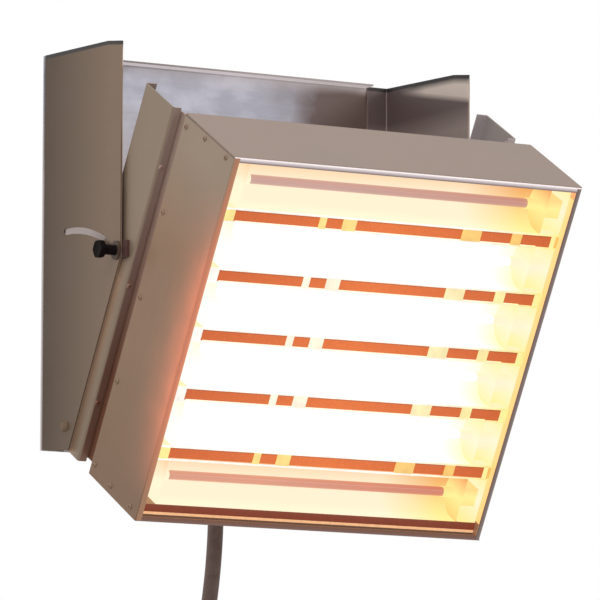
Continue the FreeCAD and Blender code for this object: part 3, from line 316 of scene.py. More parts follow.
# Shader building
class Graph:
    """A material's node tree with short ways to add and join nodes."""

    def __init__(self, name: str) -> None:
        """Makes an empty material.

        Args:
            name: the material's name.
        """
        self.material = bpy.data.materials.new(name)
        self.material.use_nodes = True
        self.tree = self.material.node_tree
        self.tree.nodes.clear()

    def add(self, kind: str, **settings: object) -> bpy.types.Node:
        """Adds a node.

        Args:
            kind: node type without its "ShaderNode" prefix.
            settings: properties of the node.

        Returns:
            The node.
        """
        node = self.tree.nodes.new(f"ShaderNode{kind}")
        for key, value in settings.items():
            setattr(node, key, value)
        return node

    def feed(self, socket: Socket, value: object) -> None:
        """Links an output to an input, or sets a constant on it."""
        if isinstance(value, Socket):
            self.tree.links.new(value, socket)
        else:
            socket.default_value = value

    def place(self, turned: bool, scale: Triple = (1, 1, 1)) -> Socket:
        """Object coordinates for a pattern.

        Args:
            turned: True to follow the tilted head, measured from the hinge.
            scale: stretch along each axis.

        Returns:
            The vector output.
        """
        coordinates = self.add("TexCoord").outputs["Object"]
        if turned:
            tilt = self.add("Mapping")
            tilt.inputs["Location"].default_value = TO_HEAD @ -HINGE
            tilt.inputs["Rotation"].default_value = (-TILT, 0, 0)
            self.feed(tilt.inputs["Vector"], coordinates)
            coordinates = tilt.outputs["Vector"]
        stretch = self.add("Mapping")
        stretch.inputs["Scale"].default_value = scale
        self.feed(stretch.inputs["Vector"], coordinates)
        return stretch.outputs["Vector"]

    def axes(self, vector: Socket) -> tuple[Socket, Socket, Socket]:
        """The three components of a vector."""
        split = self.add("SeparateXYZ")
        self.feed(split.inputs["Vector"], vector)
        return tuple(split.outputs[letter] for letter in "XYZ")

    def noise(self, vector: Socket, scale: float, detail: float = 4.0) -> Socket:
        """Noise from 0 to 1 at a place."""
        node = self.add("TexNoise")
        node.inputs["Scale"].default_value = scale
        node.inputs["Detail"].default_value = detail
        self.feed(node.inputs["Vector"], vector)
        return node.outputs["Fac"]

    def math(self, operation: str, first: object, second: object = 0.0) -> Socket:
        """One sum of two values."""
        node = self.add("Math", operation=operation)
        self.feed(node.inputs[0], first)
        self.feed(node.inputs[1], second)
        return node.outputs["Value"]

    def times(self, first: object, *others: object) -> Socket:
        """Values multiplied with each other."""
        for other in others:
            first = self.math("MULTIPLY", first, other)
        return first

    def line(self, base: Socket, factor: float, shift: float) -> Socket:
        """A value times a factor plus a shift."""
        return self.math("ADD", self.times(base, factor), shift)

    def opposite(self, mask: Socket) -> Socket:
        """A mask turned round: 1 where it was 0."""
        return self.line(mask, -1.0, 1.0)

    def blend(self, first: Socket, second: Socket, share: float) -> Socket:
        """Two values added up, with a share of the first."""
        return self.math("ADD", self.times(first, share), self.times(second, 1 - share))

    def span(self, value: Socket, low: float, high: float,
             to_low: float = 0.0, to_high: float = 1.0) -> Socket:
        """A value carried from one range to another, held at its ends."""
        node = self.add("MapRange")
        for socket, number in zip(("From Min", "From Max", "To Min", "To Max"), (low, high, to_low, to_high)):
            node.inputs[socket].default_value = number
        self.feed(node.inputs["Value"], value)
        return node.outputs["Result"]

    def spread(self, noise: Socket, low: float, high: float) -> Socket:
        """Noise carried to a range of its own."""
        return self.span(noise, *NOISE_RANGE, low, high)

    def stray(self, value: Socket, noise: Socket, most: float) -> Socket:
        """A value that noise shifts either way."""
        return self.math("ADD", value, self.spread(noise, -most, most))

    def band(self, value: Socket, rise: Range, fall: Range) -> Socket:
        """A mask that rises from 0 to 1 over one range of a value and falls back over another."""
        return self.times(self.span(value, *rise), self.span(value, *reversed(fall)))

    def cell(self, up: Socket) -> Socket:
        """Which lamp's space a height is in: 0 to 1 across the lowest lamp's, and so on upwards."""
        lowest = lamp_up(LAMPS[-1]) - PITCH / 2
        return self.math("DIVIDE", self.math("SUBTRACT", up, lowest), PITCH)

    def ramp(self, value: Socket, stops: Stops) -> Socket:
        """Colours along a value.

        Args:
            value: position from 0 to 1.
            stops: position and colour of each stop, in rising order.

        Returns:
            The colour output.
        """
        node = self.add("ValToRGB")
        elements = node.color_ramp.elements
        while len(elements) < len(stops):
            elements.new(1.0)
        for element, (position, colour) in zip(elements, stops):
            element.position = position
            element.color = (*colour, 1.0)
        self.feed(node.inputs["Fac"], value)
        return node.outputs["Color"]

    def mix(self, share: object, first: object, second: object, blend: str = "MIX") -> Socket:
        """Two colours mixed by a share."""
        node = self.add("Mix", data_type="RGBA", blend_type=blend)
        self.feed(node.inputs["Factor"], share)
        for letter, value in (("A", first), ("B", second)):
            socket = next(s for s in node.inputs if s.name == letter and s.type == "RGBA")
            self.feed(socket, value if isinstance(value, Socket) else (*value, 1.0))
        return next(s for s in node.outputs if s.type == "RGBA")

    def dimmed(self, colour: Socket, factor: float) -> Socket:
        """A colour times a factor."""
        return self.mix(1.0, colour, (factor,) * 3, "MULTIPLY")

    def bump(self, height: Socket, strength: float, distance: float) -> Socket:
        """A surface normal from a height."""
        node = self.add("Bump")
        node.inputs["Strength"].default_value = strength
        node.inputs["Distance"].default_value = distance
        self.feed(node.inputs["Height"], height)
        return node.outputs["Normal"]

    def surface(self, **values: object) -> Material:
        """Closes the tree with one Principled shader.

        Args:
            values: inputs of the shader, with underscores for spaces.

        Returns:
            The finished material.
        """
        shader = self.add("BsdfPrincipled")
        for key, value in values.items():
            name = key.replace("_", " ")
            if isinstance(value, tuple) and len(value) == 3:
                value = (*value, 1.0)
            self.feed(shader.inputs[name], value)
        output = self.add("OutputMaterial")
        self.feed(output.inputs["Surface"], shader.outputs["BSDF"])
        return self.material

    def glowing(self, colour: object, strength: float = 1.0, **values: object) -> Material:
        """Closes the tree with a shader that gives off light.

        Args:
            colour: colour of the light.
            strength: its strength.
            values: other inputs of the shader, with underscores for spaces.

        Returns:
            The finished material.
        """
        return self.surface(Emission_Color=colour, Emission_Strength=strength, **values)


# Finishes
@dataclass(frozen=True)
class SheetSteel:
    """Satin stainless sheet with a fine rolled grain and soft stains."""

    name: str
    light: Colour
    dark: Colour
    turned: bool = True
    grain: Triple = (30, 900, 30)
    metallic: float = 0.45
    roughness: float = 0.44
    rougher: Range = (-0.07, 0.08)
    stain_scale: float = 9.0
    fine_share: float = 0.35
    contrast: Range = (0.32, 0.68)
    relief: Range = (0.12, 0.0002)

    def base(self, graph: Graph) -> tuple[Socket, dict[str, object]]:
        """Colour of the plain sheet, and the other inputs of its shader.

        Args:
            graph: the material that is being made.

        Returns:
            The colour output, and the inputs by name.
        """
        fine = graph.noise(graph.place(self.turned, self.grain), 1.0, 6.0)
        broad = graph.noise(graph.place(self.turned), self.stain_scale, 5.0)
        share = graph.blend(fine, broad, self.fine_share)
        rough = graph.spread(share, *(self.roughness + shift for shift in self.rougher))
        inputs = {"Metallic": self.metallic, "Roughness": rough, "Normal": graph.bump(fine, *self.relief)}
        return graph.mix(graph.span(share, *self.contrast), self.dark, self.light), inputs

    def material(self) -> Material:
        """The finish as a material, which each kind of sheet makes in its own way."""
        raise NotImplementedError


@dataclass(frozen=True)
class GrooveSteel(SheetSteel):
    """Sheet beside the groove between a cheek and the box: another tone in the groove, with painted shade
    darkening it towards its foot.

    Painted fill light makes it a little lighter along the slanted edge of a side plate, and a painted grey
    glow makes the right cheek's top greyer.
    """

    groove: Colour = BLACK
    foot: Colour = BLACK
    fill_glow: Colour = BLACK
    grey_glow: Colour = BLACK
    reach: float = 0.208
    groove_grain: float = 0.15
    fall: Range = (0.33, 0.08)
    plate_edge: Range = (0.0149, 0.0176)
    fill_glow_rise: Range = (-0.010, -0.003)
    fill_glow_fall: Range = (0.0, 0.0125)
    fill_glow_top: Range = (0.21, 0.18)
    fill_glow_foot: Carry = (0.0, 0.18, 0.7, 1.0)
    grey_glow_rise: Range = (0.30, 0.34)

    def material(self) -> Material:
        """The finish as a material."""
        graph = Graph(self.name)
        colour, inputs = self.base(graph)
        across, back, up = graph.axes(graph.place(True))
        inner = graph.math("LESS_THAN", graph.math("ABSOLUTE", across), self.reach)
        # Painted shade in the groove: its tone darkens towards the foot.
        deep = graph.mix(graph.span(up, *self.fall), self.groove, self.foot)
        grained = graph.mix(self.groove_grain, deep, colour)
        # Painted fill light on the outer face along the slanted edge of a side plate, where the plate's shade
        # falls.
        past_edge = graph.math("SUBTRACT", graph.line(back, -1.0, 0.0), graph.line(up, *self.plate_edge))
        beside = graph.times(
            graph.band(past_edge, self.fill_glow_rise, self.fill_glow_fall), graph.span(up, *self.fill_glow_top),
            graph.span(up, *self.fill_glow_foot), graph.opposite(inner),
        )
        # Painted grey glow on the right cheek's top.
        high = graph.times(graph.math("GREATER_THAN", across, 0.0), graph.span(up, *self.grey_glow_rise))
        lit = graph.mix(high, graph.mix(beside, BLACK, self.fill_glow), self.grey_glow)
        return graph.glowing(lit, Base_Color=graph.mix(inner, colour, grained), **inputs)


@dataclass(frozen=True)
class PlateSteel(SheetSteel):
    """Sheet of the bracket's side plates: painted shade inside and towards the wall, with a dark top edge.

    A painted reflection, a lit wedge, crosses the inside near the top, and the flanges have a painted glow.
    The lines give a height from the distance out from the wall.
    """

    inside: Colour = BLACK
    shade: Colour = BLACK
    edge: Colour = BLACK
    wedge: Colour = BLACK
    flange_glow: Colour = BLACK
    inner_face: float = 0.2135
    flange_edge: float = 0.189
    wall_shade: Range = (0.15, 0.0)
    top_lines: tuple[Range, Range] = ((-0.0284, 0.21511), (-0.1333, 0.23031))
    top_edge: Range = (-0.0050, -0.0034)
    dusk: Range = (-0.0105, -0.0034)
    dusk_out: Range = (0.02, 0.06)
    wedge_line: Range = (-0.187, 0.2125)
    wedge_rise: Range = (-0.004, 0.003)
    wedge_out: Range = (0.03, 0.085)
    low_level: Range = (0.15, 0.175)
    low_share: float = 0.4

    def material(self) -> Material:
        """The finish as a material."""
        graph = Graph(self.name)
        colour, inputs = self.base(graph)
        across, out, level = graph.axes(graph.place(False, FACING))
        side = graph.math("ABSOLUTE", across)
        inner = graph.math("LESS_THAN", side, self.inner_face)
        # Painted shade towards the wall.
        colour = graph.mix(graph.span(out, *self.wall_shade), colour, self.shade)
        # Painted shade over the inside, with a painted reflection as a lit wedge near the top.
        over_line = graph.math("SUBTRACT", level, graph.line(out, *self.wedge_line))
        lit = graph.times(graph.span(over_line, *self.wedge_rise), graph.span(out, *self.wedge_out))
        shaded_inside = graph.mix(lit, self.inside, self.wedge)
        low = graph.mix(self.low_share, self.inside, self.wedge)
        shaded_inside = graph.mix(graph.span(level, *self.low_level), low, shaded_inside)
        colour = graph.mix(inner, colour, shaded_inside)
        # Darker along the top edge, with a soft painted shade below it on the inside.
        top = graph.math("MINIMUM", *(graph.line(out, *top_line) for top_line in self.top_lines))
        below_top = graph.math("SUBTRACT", level, top)
        soft = graph.times(inner, graph.span(below_top, *self.dusk), graph.span(out, *self.dusk_out))
        dark = graph.math("MAXIMUM", soft, graph.span(below_top, *self.top_edge))
        # Painted glow on the flanges.
        flange = graph.math("LESS_THAN", side, self.flange_edge)
        colour = graph.mix(dark, colour, self.edge)
        return graph.glowing(graph.mix(flange, BLACK, self.flange_glow), Base_Color=colour, **inputs)


@dataclass(frozen=True)
class BackSheet(SheetSteel):
    """Bright sheet of the back plate: cloudy, with the right plate and a dark patch right of the middle as
    painted reflections, and a dark lip edge.

    Painted light on it: a pale, glowing lip underside, a glow just under the lip, and low on the left, where
    it shows through the arc slot.
    """

    mirrored: Colour = BLACK
    corner: Colour = BLACK
    edge: Colour = BLACK
    pale: Colour = (1.0, 1.0, 1.0)
    warm: Colour = (1.0, 1.0, 1.0)
    cloud_stretch: Triple = (1, 1, 1.6)
    cloud_scale: float = 26.0
    cloud_share: Carry = (0.42, 0.66, 0.0, 0.55)
    warm_across: Range = (-0.09, -0.13)
    warm_level: Range = (0.19, 0.09)
    dark_reflection_across: Range = (0.045, 0.08)
    dark_reflection_level: Carry = (0.172, 0.19, 0.25, 0.5)
    dark_reflection_clouds: Range = (0.3, 0.55)
    mirror_level: Range = (0.19, 0.211)
    mirror_edge: Range = (0.014, 0.105)
    mirror_stray: float = 0.008
    mirror_soft: Range = (-0.012, 0.016)
    corner_across: Range = (0.12, 0.2)
    lip_out: Range = (0.004, 0.006)
    lip_level: Range = (0.2115, 0.2125)
    lip_front: Range = (0.0212, 0.0218)
    lip_top: Range = (0.2142, 0.2138)
    lip_glow: float = 0.55
    slot_level: Range = (0.10, 0.07)
    slot_glow: Carry = (-0.158, -0.143, 0.14, 0.02)
    corner_reach: Carry = (0.05, 0.16, 0.019, 0.0085)
    corner_power: float = 1.5
    corner_glow: Carry = (-0.14, 0.05, 0.15, 0.36)
    front_face: Range = (0.0004, 0.001)

    def material(self) -> Material:
        """The finish as a material."""
        graph = Graph(self.name)
        plain, inputs = self.base(graph)
        across, out, level = graph.axes(graph.place(False, FACING))
        clouds = graph.noise(graph.place(False, self.cloud_stretch), self.cloud_scale, 3.0)
        colour = graph.mix(graph.span(clouds, *self.cloud_share), plain, self.pale)
        # Painted light low on the left, where the sheet shows through the arc slot.
        low_left = graph.times(graph.span(across, *self.warm_across), graph.span(level, *self.warm_level))
        colour = graph.mix(low_left, colour, self.warm)
        # Painted dark reflection right of the middle.
        dark_reflection = graph.times(
            graph.span(across, *self.dark_reflection_across), graph.span(level, *self.dark_reflection_level),
            graph.span(clouds, *self.dark_reflection_clouds),
        )
        colour = graph.mix(dark_reflection, colour, self.mirrored)
        # Painted reflection of the right plate, with another tone towards the right corner.
        slant = graph.line(graph.span(level, *self.mirror_level), *self.mirror_edge)
        past_edge = graph.stray(graph.math("SUBTRACT", across, slant), clouds, self.mirror_stray)
        image = graph.mix(graph.span(across, *self.corner_across), self.mirrored, self.corner)
        colour = graph.mix(graph.span(past_edge, *self.mirror_soft), colour, image)
        # Painted highlight: the lip's underside is pale; its front edge is dark.
        at_lip = graph.span(level, *self.lip_level)
        lip = graph.times(graph.span(out, *self.lip_out), at_lip)
        front = graph.times(graph.span(out, *self.lip_front), at_lip)
        colour = graph.mix(front, graph.mix(lip, colour, self.pale), self.edge)
        # Painted glow on the lip's underside, on the plate just under the lip and behind the arc slot, on the
        # front face only.
        under = graph.times(lip, graph.opposite(front), graph.span(level, *self.lip_top), self.lip_glow)
        slot = graph.times(graph.span(level, *self.slot_level), low_left, graph.span(across, *self.slot_glow))
        below_lip = graph.line(level, -1.0, self.lip_level[0])
        below_lip = graph.math("DIVIDE", below_lip, graph.span(across, *self.corner_reach))
        corner = graph.math("POWER", graph.span(below_lip, 1.0, 0.0), self.corner_power)
        corner = graph.times(corner, graph.span(across, *self.corner_glow))
        bright = graph.math("MAXIMUM", graph.math("MAXIMUM", under, slot), corner)
        face = graph.span(out, *self.front_face)
        lit = graph.mix(graph.times(bright, face), BLACK, self.warm)
        return graph.glowing(lit, Base_Color=graph.mix(face, plain, colour), **inputs)


@dataclass(frozen=True)
class PanelSteel(SheetSteel):
    """Sheet of the lamp box: painted light and shade on its front lip, a painted glow inside, and the salmon
    tint and the dark seam of a side panel.

    The lip's stops run from its inner edge to the box's outside.
    """

    lip: Stops = ()
    lip_axis: str = "Z"
    lip_from: float = 0.0
    lip_to: float = 1.0
    lip_glow: float = 0.25
    inside: Colour = BLACK
    inside_from: float = 0.09
    inside_half: float = 1.0
    heat: Colour | None = None
    seam: Colour | None = None
    crown: Colour = BLACK
    lip_level: float = 0.1838
    lip_lit_share: Range = (0.85, 0.15)
    sheet_share: float = 0.757
    tint_range: Range = (0.095, 0.186)
    tint_scale: float = 30.0
    tint_stray: float = 0.004
    tint_power: float = 3.0
    tint_rise: Range = (0.0, 0.1)
    tint_fall: Range = (0.24, 0.42)
    dusk_range: Range = (0.16, -0.02)
    crown_range: Range = (0.26, 0.36)
    seam_range: Range = (0.3845, 0.3858)

    def material(self) -> Material:
        """The finish as a material."""
        graph = Graph(self.name)
        colour, inputs = self.base(graph)
        axes = graph.axes(graph.place(True, FACING))
        sideways, ahead, up = axes
        across = graph.span(axes["XYZ".index(self.lip_axis)], self.lip_from, self.lip_to)
        # Painted light and shade across the lip, from its inner edge to the box's outside.
        front = graph.math("GREATER_THAN", ahead, self.lip_level)
        lip_colour = graph.ramp(across, self.lip)
        # A salmon tint towards the front of the side panel, strongest in the middle of its height; darker
        # towards the bottom.
        if self.heat:
            wander = graph.noise(graph.place(True), self.tint_scale, 3.0)
            uneven = graph.stray(ahead, wander, self.tint_stray)
            reach = graph.math("POWER", graph.span(uneven, *self.tint_range), self.tint_power)
            middle = graph.band(up, self.tint_rise, self.tint_fall)
            colour = graph.mix(graph.span(up, *self.dusk_range), colour, self.dark)
            colour = graph.mix(graph.times(reach, middle), colour, self.heat)
            # The lip is lit with painted light in the middle of its height, and takes the sheet's light tone
            # above and below.
            lip_colour = graph.mix(graph.line(middle, *self.lip_lit_share), self.light, lip_colour)
        if self.seam:
            colour = graph.mix(graph.span(up, *self.crown_range), colour, self.crown)
            colour = graph.mix(graph.span(up, *self.seam_range), colour, self.seam)
        # Painted glow on the inside faces, and a fainter one on the lip.
        inner = graph.times(
            graph.math("LESS_THAN", across, self.sheet_share),
            graph.math("GREATER_THAN", ahead, self.inside_from),
            graph.math("LESS_THAN", graph.math("ABSOLUTE", sideways), self.inside_half),
        )
        faint = graph.dimmed(lip_colour, self.lip_glow)
        lit = graph.mix(front, graph.mix(inner, BLACK, self.inside), faint)
        return graph.glowing(lit, Base_Color=graph.mix(front, colour, lip_colour), **inputs)


@dataclass(frozen=True)
class Cast:
    """Moulded or plain solid finish: plastic, rubber, ceramic or bronze with a fine uneven surface."""

    name: str
    light: Colour
    dark: Colour
    roughness: float
    metallic: float = 0.0
    scale: float = 400.0
    depth: float = 0.0002
    specular: float = 0.5
    glow: Colour = BLACK
    glow_strength: float = 0.0
    broader: float = 12.0
    rougher: float = 0.08
    contrast: Range = (0.35, 0.65)
    relief: float = 0.3

    def material(self) -> Material:
        """The finish as a material."""
        graph = Graph(self.name)
        place = graph.place(False)
        grain = graph.noise(place, self.scale, 3.0)
        share = graph.blend(grain, graph.noise(place, self.scale / self.broader, 3.0), 0.5)
        return graph.glowing(
            self.glow, self.glow_strength,
            Base_Color=graph.mix(graph.span(share, *self.contrast), self.dark, self.light),
            Metallic=self.metallic, Specular_IOR_Level=self.specular,
            Roughness=graph.spread(share, self.roughness - self.rougher, self.roughness + self.rougher),
            Normal=graph.bump(grain, self.relief, self.depth),
        )


@dataclass(frozen=True)
class TroughGlow:
    """Polished reflector with its lamp's light painted on as a glow: one gradient over it, and another
    towards its right end.
    """

    name: str
    lamp_up: float
    bands: Stops
    end: Stops
    end_range: Range
    strength: float = 1.0
    half: float = 0.0261
    metal: Colour = (0.03, 0.026, 0.022)
    ripple: Triple = (4, 60, 60)
    waver: float = 0.005

    def material(self) -> Material:
        """The finish as a material."""
        graph = Graph(self.name)
        sideways, _, up = graph.axes(graph.place(True))
        ripple = graph.noise(graph.place(True, self.ripple), 1.0, 2.0)
        across = graph.span(up, self.lamp_up - self.half, self.lamp_up + self.half)
        across = graph.stray(across, ripple, self.waver)
        right = graph.span(sideways, *self.end_range)
        # Painted light: the lamp's light on the reflector, given off as a glow.
        colour = graph.mix(right, graph.ramp(across, self.bands), graph.ramp(across, self.end))
        return graph.glowing(
            colour, self.strength, Base_Color=self.metal, Metallic=0.3, Roughness=0.5,
            Normal=graph.bump(ripple, 0.1, 0.0003),
        )


@dataclass(frozen=True)
class RowGlow:
    """Painted light along rows across the head: each row has its own gradient.

    A row holds the level that it starts from, and the distance across and colour of each stop. The painted
    light over all rows, if there is one, lies along the lower part of each lamp's space, with a painted
    shadow at its edge.
    """

    name: str
    rows: tuple[tuple[float, Stops], ...]
    grain: float = 700.0
    rough: float = 0.95
    depth: float = 0.0005
    over: Colour | None = None
    over_rise: Range = (0.098, 0.102)
    over_fall: Range = (0.4, 0.5)
    shadow: float = 0.5
    shadow_rise: Range = (0.05, 0.085)
    half_width: float = 0.21
    drift_scale: float = 60.0
    drift: float = 0.004
    fibre_light: Range = (0.86, 1.06)
    body: Colour = (0.06, 0.03, 0.02)

    def material(self) -> Material:
        """The finish as a material."""
        graph = Graph(self.name)
        place = graph.place(True)
        sideways, _, up = graph.axes(place)
        fibre = graph.noise(place, self.grain, 5.0)
        across = graph.span(sideways, -self.half_width, self.half_width)
        across = graph.stray(across, graph.noise(place, self.drift_scale, 2.0), self.drift)
        colour = None
        for level, stops in self.rows:
            shares = tuple(((x + self.half_width) / (2 * self.half_width), shade) for x, shade in stops)
            row = graph.ramp(across, shares)
            above = graph.math("GREATER_THAN", up, level)
            colour = row if colour is None else graph.mix(above, colour, row)
        if self.over:
            # Painted shadow along the edge of each lamp's space, and painted light over its lower part.
            within = graph.math("FRACT", graph.cell(up))
            shaded = graph.dimmed(colour, self.shadow)
            colour = graph.mix(graph.band(within, self.shadow_rise, self.over_fall), colour, shaded)
            colour = graph.mix(graph.band(within, self.over_rise, self.over_fall), colour, self.over)
        lit = graph.mix(1.0, colour, graph.spread(fibre, *self.fibre_light), "MULTIPLY")
        return graph.glowing(
            lit, Base_Color=self.body, Roughness=self.rough, Normal=graph.bump(fibre, 0.5, self.depth),
        )


@dataclass(frozen=True)
class EndGlow:
    """Ends of the lamps, with the reflectors' light painted on as a glow: a look for each side, and others
    for the outer lamps.
    """

    name: str
    left: Stops
    left_top: Stops
    left_foot: Stops
    right: Stops
    right_outer: Stops
    uneven_scale: float = 120.0
    waver: float = 0.008
    rough: Range = (0.55, 0.75)
    body: Colour = (0.05, 0.045, 0.03)

    def material(self) -> Material:
        """The finish as a material."""
        graph = Graph(self.name)
        place = graph.place(True)
        sideways, _, up = graph.axes(place)
        uneven = graph.noise(place, self.uneven_scale, 3.0)
        cell = graph.cell(up)
        within = graph.stray(graph.math("FRACT", cell), uneven, self.waver)
        top = graph.math("GREATER_THAN", cell, len(LAMPS) - 1)
        foot = graph.math("LESS_THAN", cell, 1.0)
        left = graph.mix(top, graph.ramp(within, self.left), graph.ramp(within, self.left_top))
        left = graph.mix(foot, left, graph.ramp(within, self.left_foot))
        outer = graph.math("MAXIMUM", top, foot)
        right = graph.mix(outer, graph.ramp(within, self.right), graph.ramp(within, self.right_outer))
        on_right = graph.math("GREATER_THAN", sideways, 0.0)
        # Painted light: the glow given off at the lamps' ends.
        return graph.glowing(
            graph.mix(on_right, left, right), Base_Color=self.body,
            Roughness=graph.spread(uneven, *self.rough), Normal=graph.bump(uneven, 0.2, 0.0003),
        )


@dataclass(frozen=True)
class Quartz:
    """Clear quartz tube with the light of its filament in it."""

    name: str
    light: Colour
    right: Colour
    strength: float
    right_range: Range = (-0.05, 0.16)
    wave_stretch: Triple = (12, 90, 90)
    wave_share: Carry = (0.35, 0.65, 0.0, 0.12)
    wave_tint: Colour = (0.3, 0.2, 0.18)
    glass: Colour = (0.12, 0.1, 0.09)

    def material(self) -> Material:
        """The finish as a material."""
        graph = Graph(self.name)
        sideways, _, _ = graph.axes(graph.place(True))
        waves = graph.noise(graph.place(True, self.wave_stretch), 1.0, 2.0)
        colour = graph.mix(graph.span(sideways, *self.right_range), self.light, self.right)
        colour = graph.mix(graph.span(waves, *self.wave_share), colour, self.wave_tint)
        return graph.glowing(
            colour, self.strength, Base_Color=self.glass, Roughness=0.2, IOR=1.46, Transmission_Weight=0.2,
        )


# Camera and studio
@dataclass
class Studio:
    """Camera at the photograph's viewing angle, pale floor and soft light.

    Each lamp has a name, a place, the edge of its square and its power in watts.
    """

    centre: Triple = (0.0, -0.15, 0.0)
    azimuth: float = -30.26262
    elevation: float = -7.26313
    roll: float = 0.21571
    distance: float = 6.93271
    offset_right: float = 0.01503
    offset_up: float = -0.05037
    lens: float = 390.0
    sensor: float = 36.0
    far_clip: float = 100.0
    floor_level: float = -1.6
    floor_size: float = 24.0
    floor_grain: float = 3.0
    floor_dark: Colour = (0.86, 0.86, 0.86)
    floor_light: Colour = (0.9, 0.9, 0.9)
    soft_light: Colour = (1, 0.99, 0.98)
    soft_strength: float = 0.55
    lamps: tuple[tuple[str, Triple, float, float], ...] = (
        ("key", (-2.6, -2.4, 2.2), 2.0, 55.0), ("fill", (2.8, -3.0, 1.2), 2.5, 30.0),
    )

    def axes(self) -> tuple[Vector, Vector, Vector]:
        """Right, up and back vectors of the camera."""
        a, e, r = (math.radians(angle) for angle in (self.azimuth, self.elevation, self.roll))
        back = Vector((math.sin(a) * math.cos(e), -math.cos(a) * math.cos(e), math.sin(e)))
        right = Vector((math.cos(a), math.sin(a), 0.0))
        up = back.cross(right)
        return right * math.cos(r) + up * math.sin(r), up * math.cos(r) - right * math.sin(r), back

    def camera(self) -> None:
        """Adds the camera."""
        right, up, back = self.axes()
        data = bpy.data.cameras.new("camera")
        data.lens = self.lens
        data.sensor_width = self.sensor
        data.clip_end = self.far_clip
        camera = link("camera", data)
        place = Vector(self.centre) + back * self.distance + right * self.offset_right + up * self.offset_up
        camera.matrix_world = Matrix.Translation(place) @ Matrix((right, up, back)).transposed().to_4x4()
        bpy.context.scene.camera = camera

    def floor(self) -> None:
        """Adds the pale floor."""
        mesh = bpy.data.meshes.new("floor")
        shape = bmesh.new()
        bmesh.ops.create_grid(shape, x_segments=1, y_segments=1, size=self.floor_size / 2)
        bmesh.ops.translate(shape, vec=(0, 0, self.floor_level), verts=shape.verts)
        shape.to_mesh(mesh)
        shape.free()
        floor = link("floor", mesh)
        graph = Graph("floor")
        grain = graph.noise(graph.place(False), self.floor_grain)
        graph.surface(Base_Color=graph.mix(grain, self.floor_dark, self.floor_light), Roughness=0.9)
        mesh.materials.append(graph.material)

    def world(self) -> None:
        """Soft even light, with a white background for the camera, metal and glass."""
        world = bpy.data.worlds.new("studio")
        bpy.context.scene.world = world
        world.use_nodes = True
        tree = world.node_tree
        tree.nodes.clear()
        path = tree.nodes.new("ShaderNodeLightPath")
        shown = path.outputs["Is Camera Ray"]
        for name in ("Is Glossy Ray", "Is Transmission Ray"):
            most = tree.nodes.new("ShaderNodeMath")
            most.operation = "MAXIMUM"
            tree.links.new(shown, most.inputs[0])
            tree.links.new(path.outputs[name], most.inputs[1])
            shown = most.outputs["Value"]
        choice = tree.nodes.new("ShaderNodeMixShader")
        tree.links.new(shown, choice.inputs[0])
        backgrounds = ((self.soft_light, self.soft_strength), ((1, 1, 1), 1.0))
        for slot, (colour, strength) in enumerate(backgrounds, start=1):
            background = tree.nodes.new("ShaderNodeBackground")
            background.inputs["Color"].default_value = (*colour, 1)
            background.inputs["Strength"].default_value = strength
            tree.links.new(background.outputs["Background"], choice.inputs[slot])
        output = tree.nodes.new("ShaderNodeOutputWorld")
        tree.links.new(choice.outputs["Shader"], output.inputs["Surface"])

    def lamp(self, name: str, spot: Triple, size: float, power: float) -> None:
        """Adds one soft area light that looks at the object.

        Args:
            name: the light's name.
            spot: where it stands.
            size: edge of its square.
            power: watts.
        """
        data = bpy.data.lights.new(name, "AREA")
        data.size = size
        data.energy = power
        look = Vector(self.centre) - Vector(spot)
        turn = look.to_track_quat("-Z", "Y").to_matrix().to_4x4()
        link(name, data).matrix_world = Matrix.Translation(spot) @ turn

    def build(self) -> None:
        """Sets up the whole studio."""
        bpy.context.scene.view_settings.view_transform = "Standard"
        self.camera()
        self.floor()
        self.world()
        for lamp in self.lamps:
            self.lamp(*lamp)


# Cable
@dataclass
class Cable:
    """Rubber mains cable: the lead from the gland to the clamp, the hanging stretch and the put-away coil."""

    radius: float = 0.0085
    coil_radius: float = 0.0935
    coil_step: float = 0.0184
    coil_turns: float = 2.25
    points_per_turn: int = 16
    route: tuple[Triple, ...] = (
        (-0.006, -0.0108, -0.185), (-0.0055, -0.0113, -0.231), (-0.007, -0.0138, -0.289),
        (-0.015, -0.0198, -0.347), (-0.028, -0.0258, -0.407), (-0.034, -0.0298, -0.475),
    )
    lead_route: tuple[Triple, ...] = (
        (-0.006, -0.1594, -0.0932), (-0.006, -0.1282, -0.0752), (-0.006, -0.0572, -0.0877),
        (-0.006, -0.0109, -0.1429), (-0.006, -0.0108, -0.185),
    )

    def coil_points(self) -> list[Vector]:
        """Control points of the coil's turns, which start where the hanging stretch ends."""
        entry = Vector(self.route[-1])
        run = entry - Vector(self.route[-2])
        lean = math.atan2(run.x, -run.z)
        centre = entry + Vector((math.cos(lean), 0, math.sin(lean))) * self.coil_radius
        outer = self.coil_radius / math.cos(math.pi / self.points_per_turn)
        count = round(self.coil_turns * self.points_per_turn)
        points = []
        for i in range(1, count + 1):
            turn = i / self.points_per_turn
            angle = math.pi + lean + 2 * math.pi * turn
            radius = outer if i < count else self.coil_radius
            shift = Vector((math.cos(angle) * radius, -self.coil_step * turn, math.sin(angle) * radius))
            points.append(centre + shift)
        return points

    def lead_points(self) -> list[Vector]:
        """Control points of the lead, from the gland to the clamp."""
        return [Vector(point) for point in self.lead_route]

    def build(self, finish: Material, with_pieces: list[Piece]) -> list[Piece]:
        """Args:
            finish: the rubber's material.
            with_pieces: the pieces on it; not used.

        Returns:
            The pieces.
        """
        cord = tube_curve("cable", [Vector(point) for point in self.route] + self.coil_points(), self.radius)
        cord.data.materials.append(finish)
        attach(cord, Body.BRACKET.value)
        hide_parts("mains_cable", "cable_coil")
        lead = link("flexing_lead", tube_mesh("lead_line", self.lead_points(), self.radius))
        lead.data.materials.append(finish)
        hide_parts("flex_lead")
        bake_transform(lead)
        return [cord, lead]


